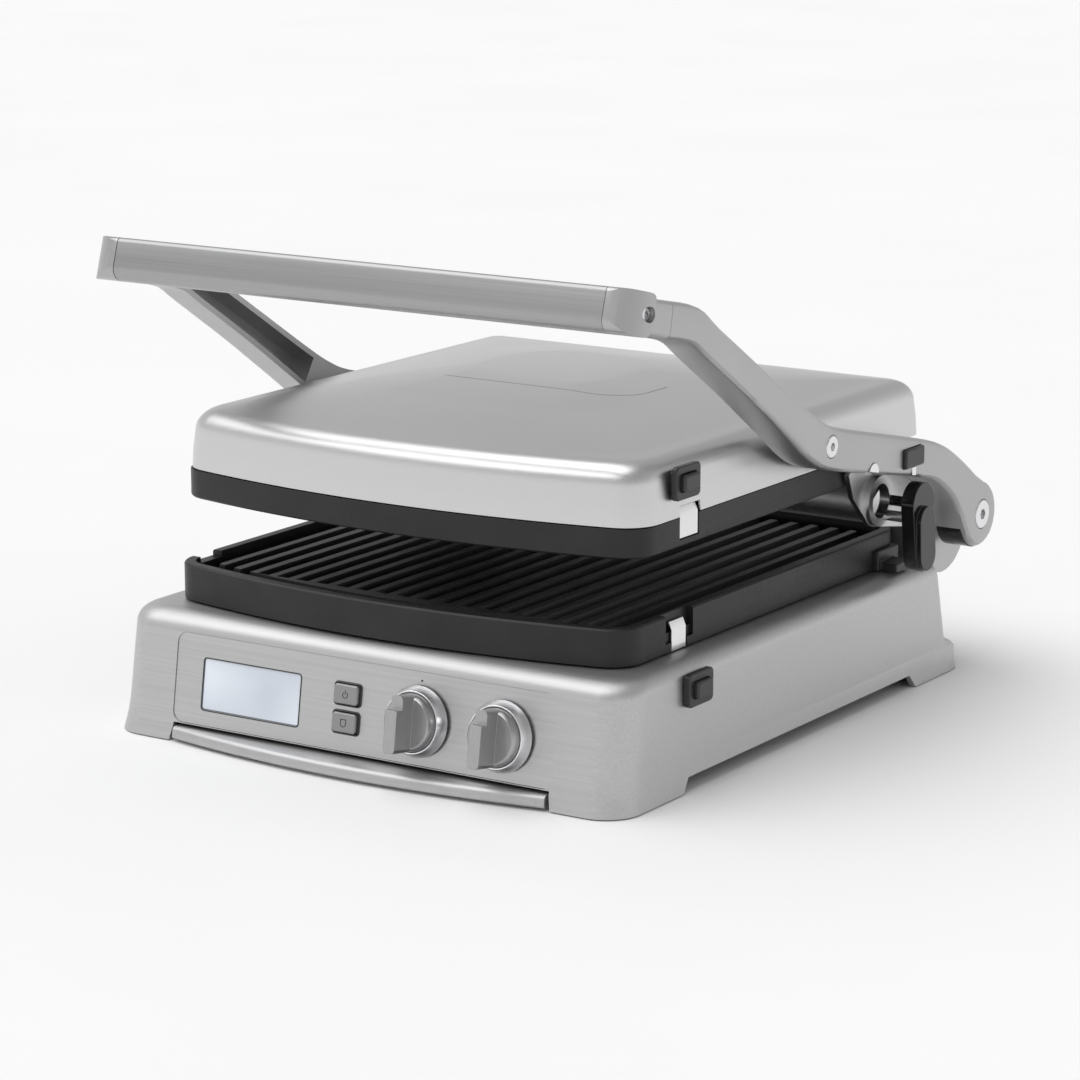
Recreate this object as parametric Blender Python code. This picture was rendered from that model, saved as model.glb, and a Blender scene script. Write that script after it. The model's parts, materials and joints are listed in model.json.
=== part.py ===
"""Contact grill (panini press) with a floating lid, built as separate pieces.

Units are metres, +Z is up, +X is the user's right, and the user stands at -Y.
The origin is on the counter, under the middle of the whole press.
"""
import math

import bmesh
import bpy
from mathutils import Matrix, Vector

# ---------------------------------------------------------------- clearances
TOUCH_GAP = 0.0003        # left between two pieces that touch
RUN_GAP = 0.0004          # round a piece that turns or slides
CLOSED_GAP = 0.0010       # between the two plate rims when the lid is shut

# ---------------------------------------------------------------- base
BASE_WIDTH = 0.350        # over the feet
BASE_DEPTH = 0.3929       # of the walls at the counter
FOOT_LIFT = 0.0008        # housing above the counter; the rubber feet touch it
SKIRT_Z = 0.0088          # lower edge of the walls between the feet
WALL_TOP_Z = 0.0690
DECK_Z = 0.0735
SIDE_LEAN = 0.0160        # inward run of each wall per unit of height
FRONT_LEAN = 0.1500
REAR_LEAN = 0.2200
BASE_CORNER_R = 0.022     # front corners
BASE_WALL = 0.0028
SHOULDER = 0.013          # width of the sloping band round the deck
FOOT_FLARE = 0.0016       # extra reach of each corner foot at the counter
FOOT_FLARE_Z = 0.0180
FRONT_FOOT_WIDTH = 0.043
FRONT_FOOT_DEPTH = 0.0627
REAR_FOOT_DEPTH = 0.050
BASE_REAR_R = 0.012
HEEL_REACH = 0.0050       # squared heel of each rear foot, behind the wall
HEEL_TOP_Z = 0.0155
HEEL_R = 0.0070
SIDE_FOOT_SLOPE = 0.010   # run of each foot's inner slope
FRONT_FOOT_SLOPE = 0.003
RUBBER_R = 0.011
RUBBER_INSET = 0.027

# ---------------------------------------------------------------- hinge line
HINGE_SETBACK = 0.0122    # hinge axis behind the housing
HINGE_Z = 0.0970
AXLE_R = 0.005
EYE_R = 0.0174            # bracket's round end on the hinge axis
BARREL_R = 0.0280
BARREL_WALL = 0.0020
POST_THICKNESS = 0.0334
POST_R = 0.0310           # round hinge housing, centred a little below the axis
POST_DROP = 0.0090
POST_SHIFT = 0.0009
BRACKET_THICKNESS = 0.0032
LOBE_AHEAD = 0.0966       # round lobe ahead of the hinge axis, and above it
LOBE_RISE = 0.0233
LOBE_R = 0.0156
LOBE_BORE_R = 0.0105
LOBE_BOSS = 0.0034
LEVER_AHEAD = 0.0816      # lever shaft ahead of the hinge axis, and above it
LEVER_RISE = 0.0210
ROD_AHEAD = 0.0886
ROD_RISE = 0.0133
ROD_R = 0.0032

# ---------------------------------------------------------------- plates
PLATE_HALF_WIDTH = BASE_WIDTH / 2.0 - 0.0200
PLATE_FRONT_INSET = 0.0340    # corner of the lower plate behind the feet
PLATE_DEPTH = BASE_DEPTH - 0.0714
PLATE_BOW = 0.0155
PLATE_CORNER_R = 0.020
LOWER_PLATE_HEIGHT = 0.0210
UPPER_PLATE_HEIGHT = 0.0165
PLATE_WALL = 0.0045
PLATE_FLOOR = 0.0050
RIB_COUNT = 18
RIB_PITCH = (2.0 * PLATE_HALF_WIDTH - 0.0580) / RIB_COUNT
RIB_WIDTH = 0.0060
RIB_HEIGHT = 0.0050
RIB_BELOW_RIM = 0.0025
RIM_WIDTH = 0.0065
CHANNEL_WIDTH = 0.0120
LATCH_AHEAD = 0.0360      # front of each rear latch ahead of the plate's rear
LATCH_LENGTH = 0.0260
LATCH_HEIGHT = 0.0128

# ---------------------------------------------------------------- lid
LID_HALF_WIDTH = PLATE_HALF_WIDTH + 0.0020
LID_SHOULDER_RISE = 0.0365    # from the shell's rim to its shoulder
LID_CROWN = 0.0190
LID_WALL = 0.0012
LID_RIM_GAP = 0.0006
LID_REAR_REACH = 0.0070       # cover's rear edge behind the plate
LID_REAR_R = 0.0080

# ---------------------------------------------------------------- handle
ARM_INNER_X = LID_HALF_WIDTH + 0.0050
ARM_WIDTH = 0.0220
ARM_OUTER_X = ARM_INNER_X + ARM_WIDTH
ARM_RIM = 0.0034
ARM_WEB = 0.0045
ARM_BOSS_R = 0.0203
ARM_EDGE_R = 0.0042
LID_PIVOT_BACK = 0.1934       # lid pivot ahead of the hinge axis
LID_PIVOT_RISE = 0.0745
PIN_R = 0.0040
BAR_HALF_LENGTH = ARM_INNER_X + 0.0010
BAR_HEIGHT = 0.0240
BAR_DEPTH = 0.0175
BAR_TILT = math.radians(17.0)
BAR_AHEAD = 0.3965            # middle of the bar ahead of the hinge axis
BAR_RISE = 0.1785
CAP_REACH = 0.0260            # from the middle of the bar to the arm's end
CAP_CORNER_R = 0.0190

# ---------------------------------------------------------------- controls
PANEL_WIDTH = 0.2600
PANEL_HEIGHT = 0.0520
PANEL_MIDDLE_Z = 0.0375
PANEL_THICKNESS = 0.0030
PANEL_CORNER_R = 0.006
PANEL_INSET = 0.0006
LCD_WIDTH = 0.0680
LCD_HEIGHT = 0.0290
LCD_X = -0.0760
LCD_UP = -0.0018
BUTTON_WIDTH = 0.0165
BUTTON_HEIGHT = 0.0112
BUTTON_X = -0.0085
BUTTON_RISE = 0.0080          # of each button from the row's middle
BUTTON_PROUD = 0.0030
BUTTON_DEPTH = 0.0075
KNOB_X = (0.0405, 0.0960)
KNOB_UP = -0.0015
KNOB_R = 0.0165
KNOB_RING_R = 0.0202
KNOB_RING_HEIGHT = 0.0066
KNOB_FACE_R = 0.0143
KNOB_HEIGHT = 0.0112
KNOB_BAR_WIDTH = 0.0080
KNOB_BAR_REACH = 0.0270       # of the grip bar, from the back of the knob
KNOB_NOTCH = 0.0082           # stepped end of the bar that points at the scale
KNOB_NOTCH_DEEP = 0.0058
KNOB_SHAFT_R = 0.0030

# ---------------------------------------------------------------- drip tray
TRAY_WIDTH = 0.2560
TRAY_LIP_OVERHANG = 0.0150    # middle of the lip in front of the feet
TRAY_LIP_BOW = 0.0095
TRAY_LIP_BOTTOM_Z = 0.0018
TRAY_LIP_TOP_Z = 0.0090
TRAY_DEPTH = 0.1650
TRAY_WALL = 0.0018
COVER_Z = 0.0125
COVER_THICKNESS = 0.0020

# ---------------------------------------------------------------- releases
RELEASE_WIDTH = 0.0260
RELEASE_HEIGHT = 0.0190
RELEASE_BUTTON_WIDTH = 0.0165
RELEASE_BUTTON_HEIGHT = 0.0095
RELEASE_BUTTON_PROUD = 0.0030
RELEASE_FROM_FRONT = 0.0470   # behind the plate's front corner
UPPER_CLIP_FROM_FRONT = 0.0555
LOWER_CLIP_FROM_FRONT = 0.0593
UPPER_CLIP_WIDTH = 0.0190
LOWER_CLIP_WIDTH = 0.0150
CLIP_BEND = 0.0046
CLIP_LEAN = 0.0019
CLIP_THICKNESS = 0.0012
CLIP_POCKET = 0.0040
LEVER_THICKNESS = 0.0115
LEVER_HUB_R = 0.0133
LEVER_LENGTH = 0.0414
LEVER_TOE_AHEAD = 0.0040
LEVER_SHAFT_R = 0.0032

# ---------------------------------------------------------------- places
REAR_REACH = BASE_DEPTH + HINGE_SETBACK + POST_SHIFT + POST_R
KNOB_REACH = 0.0245           # knob bars in front of the feet
FRONT_Y = (KNOB_REACH - REAR_REACH) / 2.0
REAR_Y = FRONT_Y + BASE_DEPTH
HINGE_Y = REAR_Y + HINGE_SETBACK
PLATE_FRONT_Y = FRONT_Y + PLATE_FRONT_INSET
PLATE_REAR_Y = PLATE_FRONT_Y + PLATE_DEPTH
PLATE_Z = DECK_Z + 0.0013
PLATE_TOP_Z = PLATE_Z + LOWER_PLATE_HEIGHT

LIFT_RADIUS = math.hypot(LID_PIVOT_BACK, LID_PIVOT_RISE)
LIFT_ANGLE = math.atan2(LID_PIVOT_RISE, LID_PIVOT_BACK)
LIFT = 0.0371                 # rim to rim in the raised position
SHUT_RISE = LID_PIVOT_RISE - LIFT + CLOSED_GAP
SHUT_ANGLE = LIFT_ANGLE - math.asin(SHUT_RISE / LIFT_RADIUS)
LID_SHIFT = LIFT_RADIUS * math.cos(LIFT_ANGLE - SHUT_ANGLE) - LID_PIVOT_BACK

UPPER_Z = PLATE_TOP_Z + LIFT
UPPER_FRONT_Y = PLATE_FRONT_Y + LID_SHIFT
UPPER_REAR_Y = PLATE_REAR_Y + LID_SHIFT
RIM_Z = UPPER_Z + UPPER_PLATE_HEIGHT + LID_RIM_GAP
LID_PIVOT_Y = HINGE_Y - LID_PIVOT_BACK
LID_PIVOT_Z = HINGE_Z + LID_PIVOT_RISE
LOBE_Y = HINGE_Y - LOBE_AHEAD
LOBE_Z = HINGE_Z + LOBE_RISE
LEVER_Y = HINGE_Y - LEVER_AHEAD
LEVER_Z = HINGE_Z + LEVER_RISE
BRACKET_OUTER_X = ARM_INNER_X - RUN_GAP
BRACKET_INNER_X = BRACKET_OUTER_X - BRACKET_THICKNESS
POST_INNER_X = BRACKET_INNER_X - 0.0010 - POST_THICKNESS
LEVER_INNER_X = ARM_OUTER_X - 0.0067
BAR_Y = HINGE_Y - BAR_AHEAD
BAR_Z = HINGE_Z + BAR_RISE
CUT = 0.004                   # how far a cutter runs past what it cuts


# ================================================================ tools
def clear_scene():
    for item in list(bpy.data.objects):
        bpy.data.objects.remove(item, do_unlink=True)


def material(name, colour, roughness, metallic):
    found = bpy.data.materials.get(name)
    if found:
        return found
    mat = bpy.data.materials.new(name)
    mat.use_nodes = True
    shader = mat.node_tree.nodes["Principled BSDF"]
    shader.inputs["Base Color"].default_value = (*colour, 1.0)
    shader.inputs["Roughness"].default_value = roughness
    shader.inputs["Metallic"].default_value = metallic
    return mat


def silver_paint(name):
    return material(name, (0.42, 0.42, 0.43), 0.38, 0.55)


def steel(name):
    return material(name, (0.62, 0.61, 0.60), 0.28, 1.0)


def chrome(name):
    return material(name, (0.75, 0.75, 0.76), 0.12, 1.0)


def black_plastic(name):
    return material(name, (0.025, 0.025, 0.027), 0.45, 0.0)


def plate_coating():
    return material("plate_coating", (0.045, 0.046, 0.050), 0.50, 0.2)


def rubber(name):
    return material(name, (0.02, 0.02, 0.02), 0.85, 0.0)


def finish(name, bm, mat, smooth=False):
    """Turn a bmesh into a named object with outward faces and one material."""
    bmesh.ops.remove_doubles(bm, verts=bm.verts, dist=1e-7)
    bmesh.ops.recalc_face_normals(bm, faces=bm.faces)
    mesh = bpy.data.meshes.new(name)
    bm.to_mesh(mesh)
    bm.free()
    obj = bpy.data.objects.new(name, mesh)
    bpy.context.collection.objects.link(obj)
    if mat is not None:
        mesh.materials.append(mat)
    if smooth:
        shade_round(obj)
    return obj


def shade_round(obj):
    obj.data.shade_smooth()
    obj.data.set_sharp_from_angle(angle=math.radians(35.0))


def add_loops(bm, loops):
    """Skin loops of equal length and cap both ends."""
    rings = [[bm.verts.new(point) for point in loop] for loop in loops]
    for low, high in zip(rings, rings[1:]):
        count = len(low)
        for i in range(count):
            j = (i + 1) % count
            bm.faces.new((low[i], low[j], high[j], high[i]))
    bm.faces.new(rings[0][::-1])
    bm.faces.new(rings[-1])


def loft(name, loops, mat, smooth=False):
    bm = bmesh.new()
    add_loops(bm, loops)
    return finish(name, bm, mat, smooth)


PLANES = {
    "X": lambda u, v, w: (w, u, v),
    "Y": lambda u, v, w: (u, w, v),
    "Z": lambda u, v, w: (u, v, w),
}


def prism(name, outline, axis, low, high, mat, smooth=False):
    """Extrude a 2-D outline along one axis, from low to high."""
    place = PLANES[axis]
    loops = [[place(u, v, w) for u, v in outline] for w in (low, high)]
    return loft(name, loops, mat, smooth)


def turned(name, profile, centre, axis, mat, steps=32):
    """Revolve a closed (radius, along) profile; a zero radius meets the axis."""
    bm = bmesh.new()
    cu, cv = centre
    place = PLANES[axis]
    rings = []
    for radius, along in profile:
        if radius == 0.0:
            rings.append([bm.verts.new(place(cu, cv, along))])
            continue
        ring = []
        for i in range(steps):
            turn = 2.0 * math.pi * i / steps
            u = cu + radius * math.cos(turn)
            v = cv + radius * math.sin(turn)
            ring.append(bm.verts.new(place(u, v, along)))
        rings.append(ring)
    pairs = list(zip(rings, rings[1:] + rings[:1]))
    for first, second in pairs:
        if len(first) == 1 and len(second) == 1:
            continue
        for i in range(steps):
            j = (i + 1) % steps
            corners = [first[i % len(first)], first[j % len(first)],
                       second[j % len(second)], second[i % len(second)]]
            unique = list(dict.fromkeys(corners))
            bm.faces.new(unique)
    return finish(name, bm, mat, smooth=True)


def block(name, low, high, mat):
    """A box between two corners."""
    (x0, y0, z0), (x1, y1, z1) = low, high
    return prism(name, [(x0, y0), (x1, y0), (x1, y1), (x0, y1)], "Z", z0, z1, mat)


def combine(obj, tools, operation):
    """Cut or join with other objects, bake the result and drop the tools."""
    for tool in tools:
        mod = obj.modifiers.new("join", "BOOLEAN")
        mod.operation = operation
        mod.solver = "EXACT"
        mod.object = tool
    bpy.context.view_layer.update()
    graph = bpy.context.evaluated_depsgraph_get()
    mesh = bpy.data.meshes.new_from_object(obj.evaluated_get(graph))
    mat = obj.data.materials[0]
    obj.modifiers.clear()
    mesh.materials.clear()
    mesh.materials.append(mat)
    for face in mesh.polygons:
        face.material_index = 0
    obj.data = mesh
    for tool in tools:
        bpy.data.objects.remove(tool, do_unlink=True)
    return obj


def cut(obj, *tools):
    return combine(obj, tools, "DIFFERENCE")


def join(obj, *tools):
    return combine(obj, tools, "UNION")


def arc(centre, radius, start, end, steps):
    """Points on an arc, angles in degrees."""
    points = []
    for i in range(steps + 1):
        turn = math.radians(start + (end - start) * i / steps)
        points.append((centre[0] + radius * math.cos(turn), centre[1] + radius * math.sin(turn)))
    return points


def circle(centre, radius, steps=32):
    return arc(centre, radius, 0.0, 360.0, steps)[:-1]


def rounded(x0, y0, x1, y1, radius, steps=6):
    """Outline of a rectangle with round corners."""
    return (arc((x1 - radius, y1 - radius), radius, 0, 90, steps)
            + arc((x0 + radius, y1 - radius), radius, 90, 180, steps)
            + arc((x0 + radius, y0 + radius), radius, 180, 270, steps)
            + arc((x1 - radius, y0 + radius), radius, 270, 360, steps))


def rounded_walls(half, front, rear, front_r, rear_r, steps=6):
    """Plan outline of the housing, with its own radius front and rear."""
    return (arc((half - rear_r, rear - rear_r), rear_r, 0, 90, steps)
            + arc((-half + rear_r, rear - rear_r), rear_r, 90, 180, steps)
            + arc((-half + front_r, front + front_r), front_r, 180, 270, steps)
            + arc((half - front_r, front + front_r), front_r, 270, 360, steps))


def tub(half_width, front, rear, radius, bow, rear_radius=None, steps=6, front_steps=14):
    """Plan outline with round corners and a front edge that bows towards -Y."""
    back_r = radius if rear_radius is None else rear_radius
    points = arc((half_width - back_r, rear - back_r), back_r, 0, 90, steps)
    points += arc((-half_width + back_r, rear - back_r), back_r, 90, 180, steps)
    reach = half_width - radius
    tilt = math.degrees(math.atan(2.0 * bow / reach))
    points += arc((-reach, front + radius), radius, 180, 270 - tilt, steps)
    first = points[-1]
    for i in range(1, front_steps):
        share = -1.0 + 2.0 * i / front_steps
        points.append((-first[0] * share, first[1] - bow * (1.0 - share * share)))
    points += arc((reach, front + radius), radius, -90 + tilt, 0, steps)
    return points


def at_height(outline, z):
    return [(x, y, z) for x, y in outline]


def mirror_x(obj, name):
    """A mirrored copy in an object of its own."""
    copy = obj.copy()
    copy.data = obj.data.copy()
    copy.name = name
    copy.data.name = name
    bpy.context.collection.objects.link(copy)
    copy.data.transform(Matrix.Scale(-1.0, 4, Vector((1.0, 0.0, 0.0))))
    copy.data.flip_normals()
    return copy


def axis_empty(name, place):
    """An empty on a joint axis."""
    empty = bpy.data.objects.new(name, None)
    empty.location = place
    bpy.context.collection.objects.link(empty)
    return empty


def hang_on(empty, *pieces):
    """Parent pieces to an empty and leave them where they are."""
    bpy.context.view_layer.update()
    for piece in pieces:
        piece.parent = empty
        piece.matrix_parent_inverse = empty.matrix_world.inverted()


# ================================================================ base
def base_outline(z, inset=0.0, flare=0.0):
    """Plan outline of the housing at a height."""
    half = BASE_WIDTH / 2.0 - FOOT_FLARE - SIDE_LEAN * z - inset + flare
    front = FRONT_Y + FRONT_LEAN * z + inset - flare
    rear = REAR_Y - REAR_LEAN * z - inset + flare
    front_r = max(BASE_CORNER_R - inset, 0.004)
    rear_r = max(BASE_REAR_R - inset, 0.003)
    return at_height(rounded_walls(half, front, rear, front_r, rear_r), z)


def foot_notch(low, high, axis, slope):
    """Cutter that lifts the skirt between two feet, with sloping ends."""
    outline = [(low, -CUT), (high, -CUT), (high - slope, SKIRT_Z), (low + slope, SKIRT_Z)]
    reach = BASE_WIDTH
    return prism("notch", outline, axis, -reach, reach, None)


def rear_heel(side):
    """Squared heel outside the rounded rear corner of the wall."""
    inner = BASE_WIDTH / 2.0 - FRONT_FOOT_WIDTH
    outer = BASE_WIDTH / 2.0 - 0.0006
    rear = REAR_Y + HEEL_REACH
    loops = []
    for z, shrink in ((FOOT_LIFT, 0.0), (HEEL_TOP_Z, 0.0015), (HEEL_TOP_Z + 0.0060, 0.0105)):
        x0, x1 = sorted((side * inner, side * (outer - shrink * 0.35)))
        loops.append(at_height(rounded(x0, REAR_Y - 0.034, x1, rear - shrink, HEEL_R, 4), z))
    heel = loft("heel", loops, silver_paint("base_paint"))
    core = loft("core", [base_outline(-CUT, inset=BASE_WALL * 0.5),
                         base_outline(HEEL_TOP_Z + 0.02, inset=BASE_WALL * 0.5)], None)
    return cut(heel, core)


def base_housing():
    top_inner = DECK_Z - BASE_WALL
    loops = [
        base_outline(top_inner, inset=BASE_WALL + SHOULDER),
        base_outline(WALL_TOP_Z - BASE_WALL, inset=BASE_WALL),
        base_outline(FOOT_LIFT, inset=BASE_WALL),
        base_outline(FOOT_LIFT, flare=FOOT_FLARE),
        base_outline(FOOT_FLARE_Z * 0.5, flare=FOOT_FLARE * 0.4),
        base_outline(FOOT_FLARE_Z),
        base_outline(WALL_TOP_Z - 0.002, inset=0.0),
        base_outline(WALL_TOP_Z, inset=0.0012),
        base_outline(DECK_Z, inset=SHOULDER),
    ]
    body = loft("base_housing", loops, silver_paint("base_paint"))
    join(body, *[rear_heel(side) for side in (-1, 1)])
    side_low = FRONT_Y + FRONT_FOOT_DEPTH
    side_high = REAR_Y - REAR_FOOT_DEPTH
    foot_x = BASE_WIDTH / 2.0 - FRONT_FOOT_WIDTH
    cut(body,
        foot_notch(side_low, side_high, "X", SIDE_FOOT_SLOPE),
        foot_notch(-foot_x, foot_x, "Y", FRONT_FOOT_SLOPE))
    slot_half = TRAY_WIDTH / 2.0 + 0.001
    slot_top = TRAY_LIP_TOP_Z + 0.0022
    cut(body, block("slot", (-slot_half, FRONT_Y - CUT, SKIRT_Z - 0.002),
                    (slot_half, FRONT_Y + 0.012, slot_top), None))
    cut(body, *panel_cutters())
    pan_x, pan_front, pan_rear = PAN_HALF_WIDTH, PAN_FRONT_Y, PAN_REAR_Y
    gap = PAN_GAP
    cut(body, prism("pan_hole", rounded(-pan_x - gap, pan_front - gap, pan_x + gap, pan_rear + gap, 0.012),
                    "Z", DECK_Z - 0.02, DECK_Z + CUT, None))
    cut(body, *release_cutters(LOWER_RELEASE_Y, LOWER_RELEASE_Z, LOWER_RELEASE_X, 0.014))
    gland = prism("gland_hole", circle((GLAND_X, GLAND_Z), GLAND_R + RUN_GAP, 24), "Y",
                  REAR_Y - 0.03, REAR_Y + CUT, None)
    cut(body, gland)
    return body


PAN_HALF_WIDTH = PLATE_HALF_WIDTH - 0.0230
PAN_FRONT_Y = PLATE_FRONT_Y + 0.0240
PAN_REAR_Y = PLATE_REAR_Y - 0.0240
PAN_GAP = 0.0010
PAN_DEEP = 0.0120
PAN_FLANGE = 0.0060
PAN_SHEET = 0.0007
GLAND_X = -0.0900
GLAND_Z = 0.0320
GLAND_R = 0.0075


def bottom_cover():
    """Flat cover inside the walls, with two rails that carry the drip tray."""
    inset = BASE_WALL + FOOT_FLARE + 0.0012
    low = base_outline(COVER_Z, inset=inset)
    high = base_outline(COVER_Z + COVER_THICKNESS, inset=inset)
    cover = loft("bottom_cover", [low, high], black_plastic("cover_plastic"))
    rails = []
    rail_x = TRAY_WIDTH / 2.0 - 0.006
    for side in (-1, 1):
        web = rail_x + 0.0025
        outline = [(side * web, COVER_Z + 0.0005), (side * web, TRAY_RAIL_Z - 0.0032),
                   (side * (web - 0.006), TRAY_RAIL_Z - 0.0032), (side * (web - 0.006), TRAY_RAIL_Z - 0.0020),
                   (side * (web - 0.0012), TRAY_RAIL_Z - 0.0020), (side * (web - 0.0012), COVER_Z + 0.0005)]
        rails.append(prism("rail", outline, "Y", FRONT_Y + 0.018, FRONT_Y + TRAY_DEPTH + 0.004, None))
    join(cover, *rails)
    vents = []
    for row in range(3):
        for column in range(5):
            x = -0.072 + 0.036 * column
            y = REAR_Y - 0.130 + 0.025 * row
            vents.append(prism("vent", rounded(x - 0.0130, y - 0.0025, x + 0.0130, y + 0.0025, 0.0024, 2),
                               "Z", COVER_Z - CUT, COVER_Z + COVER_THICKNESS + CUT, None))
    cut(cover, *vents)
    return cover


TRAY_RAIL_Z = 0.0100


def rubber_feet():
    inset = RUBBER_INSET
    x = BASE_WIDTH / 2.0 - inset
    names = {
        "foot_front_left": (-x, FRONT_Y + inset), "foot_front_right": (x, FRONT_Y + inset),
        "foot_rear_left": (-x, REAR_Y - inset), "foot_rear_right": (x, REAR_Y - inset),
    }
    top = COVER_Z - TOUCH_GAP
    profile = [(0.0, 0.0), (RUBBER_R - 0.0012, 0.0), (RUBBER_R, 0.0012), (RUBBER_R, 0.004),
               (RUBBER_R - 0.003, 0.0055), (RUBBER_R - 0.003, top), (0.0, top)]
    return [turned(name, profile, place, "Z", rubber("foot_rubber"), steps=24)
            for name, place in names.items()]


def drip_tray():
    """Shallow tray whose bowed front lip fills the space between the front feet."""
    half = TRAY_WIDTH / 2.0
    inner_half = half - 0.0100
    top = TRAY_RAIL_Z - 0.0012
    rear = FRONT_Y + TRAY_DEPTH
    floor_z = TRAY_LIP_BOTTOM_Z + 0.0004
    front = FRONT_Y + 0.006
    tray = block("drip_tray", (-inner_half, front, floor_z), (inner_half, rear, top),
                 silver_paint("tray_paint"))
    ledge = TRAY_RAIL_Z - 0.0020 + 0.0004
    join(tray, block("ledge", (-inner_half - 0.0040, FRONT_Y + 0.020, ledge),
                     (inner_half + 0.0040, rear, ledge + 0.0012), None))
    cut(tray, block("well", (-inner_half + TRAY_WALL, front + 0.010, floor_z + TRAY_WALL),
                    (inner_half - TRAY_WALL, rear - TRAY_WALL, top + 0.01), None))
    sections = []
    steps = 16
    ends = FRONT_Y - (TRAY_LIP_OVERHANG - TRAY_LIP_BOW)
    for z, back in ((TRAY_LIP_BOTTOM_Z, 0.0), (TRAY_LIP_BOTTOM_Z + 0.0030, 0.0016),
                    (TRAY_LIP_TOP_Z - 0.0012, 0.0052), (TRAY_LIP_TOP_Z, 0.0072)):
        loop = []
        for i in range(steps + 1):
            share = -1.0 + 2.0 * i / steps
            y = ends - TRAY_LIP_BOW * (1.0 - share * share) + back
            loop.append((share * (half - 0.0006), y, z))
        loop.append((half - 0.0006, FRONT_Y + 0.0100, z))
        loop.append((-half + 0.0006, FRONT_Y + 0.0100, z))
        sections.append(loop)
    lip = loft("lip", sections, None)
    join(tray, lip)
    return tray


# ================================================================ control panel
def panel_matrix():
    lean = math.atan(FRONT_LEAN)
    place = Vector((0.0, FRONT_Y + FRONT_LEAN * PANEL_MIDDLE_Z, PANEL_MIDDLE_Z))
    return Matrix.Translation(place) @ Matrix.Rotation(-lean, 4, "X")


def on_panel(*pieces):
    """Tilt pieces that were made upright at the panel's middle."""
    for piece in pieces:
        piece.data.transform(panel_matrix())
    return pieces


def panel_outline(grow):
    return rounded(-PANEL_WIDTH / 2.0 - grow, -PANEL_HEIGHT / 2.0 - grow,
                   PANEL_WIDTH / 2.0 + grow, PANEL_HEIGHT / 2.0 + grow, PANEL_CORNER_R + grow)


def panel_cutters():
    deep = PANEL_INSET + PANEL_THICKNESS + TOUCH_GAP
    seat = prism("seat", panel_outline(0.0005), "Y", -CUT, deep, None)
    window = prism("window", rounded(-PANEL_WIDTH / 2.0 + 0.004, -PANEL_HEIGHT / 2.0 + 0.003,
                                     PANEL_WIDTH / 2.0 - 0.004, PANEL_HEIGHT / 2.0 - 0.003, 0.004),
                   "Y", -CUT, deep + 0.012, None)
    return on_panel(seat, window)


def button_outline(index, grow=0.0):
    up = (BUTTON_RISE if index == 0 else -BUTTON_RISE) + KNOB_UP
    half_w = BUTTON_WIDTH / 2.0 + grow
    half_h = BUTTON_HEIGHT / 2.0 + grow
    return rounded(BUTTON_X - half_w, up - half_h, BUTTON_X + half_w, up + half_h, 0.0018 + grow, 3)


def control_panel():
    front = PANEL_INSET
    back = PANEL_INSET + PANEL_THICKNESS
    panel = prism("control_panel", panel_outline(0.0), "Y", front, back, silver_paint("panel_paint"))
    tools = [prism("lcd", lcd_outline(RUN_GAP), "Y", front - CUT, back + CUT, None)]
    for index in range(2):
        tools.append(prism("button", button_outline(index, RUN_GAP), "Y", front - CUT, back + CUT, None))
    for x in KNOB_X:
        tools.append(prism("shaft", circle((x, KNOB_UP), KNOB_SHAFT_R + RUN_GAP, 20), "Y",
                           front - CUT, back + CUT, None))
    cut(panel, *tools)
    return on_panel(panel)[0]


def lcd_outline(grow=0.0):
    return rounded(LCD_X - LCD_WIDTH / 2.0 - grow, LCD_UP - LCD_HEIGHT / 2.0 - grow,
                   LCD_X + LCD_WIDTH / 2.0 + grow, LCD_UP + LCD_HEIGHT / 2.0 + grow, 0.0012 + grow, 3)


def lcd_pieces():
    lens = prism("lcd_lens", lcd_outline(), "Y", PANEL_INSET + 0.0004, PANEL_INSET + 0.0018,
                 material("lens_glass", (0.70, 0.76, 0.80), 0.08, 0.0))
    back = PANEL_INSET + PANEL_THICKNESS + TOUCH_GAP
    module = prism("lcd_module", rounded(LCD_X - LCD_WIDTH / 2.0 - 0.002, LCD_UP - LCD_HEIGHT / 2.0 - 0.002,
                                         LCD_X + LCD_WIDTH / 2.0 + 0.002, LCD_UP + LCD_HEIGHT / 2.0 + 0.002,
                                         0.001, 2),
                   "Y", back, back + 0.0040, material("lcd_grey", (0.55, 0.62, 0.66), 0.35, 0.0))
    return on_panel(lens, module)


BOARD_DEEP = 0.0150


def control_board():
    """Circuit board behind the panel, with the two rotary switches' holes."""
    near = PANEL_INSET + PANEL_THICKNESS + BOARD_DEEP
    board = prism("control_board", rounded(-0.100, -0.0200, 0.114, 0.0200, 0.001, 2), "Y",
                  near, near + 0.0016,
                  material("board_green", (0.02, 0.16, 0.07), 0.5, 0.0))
    holes = [prism("hole", rounded(x - 0.0048, KNOB_UP - 0.0048, x + 0.0048, KNOB_UP + 0.0048, 0.0005, 2),
                   "Y", near - CUT, near + 0.0016 + CUT, None) for x in KNOB_X]
    cut(board, *holes)
    return on_panel(board)[0]


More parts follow.
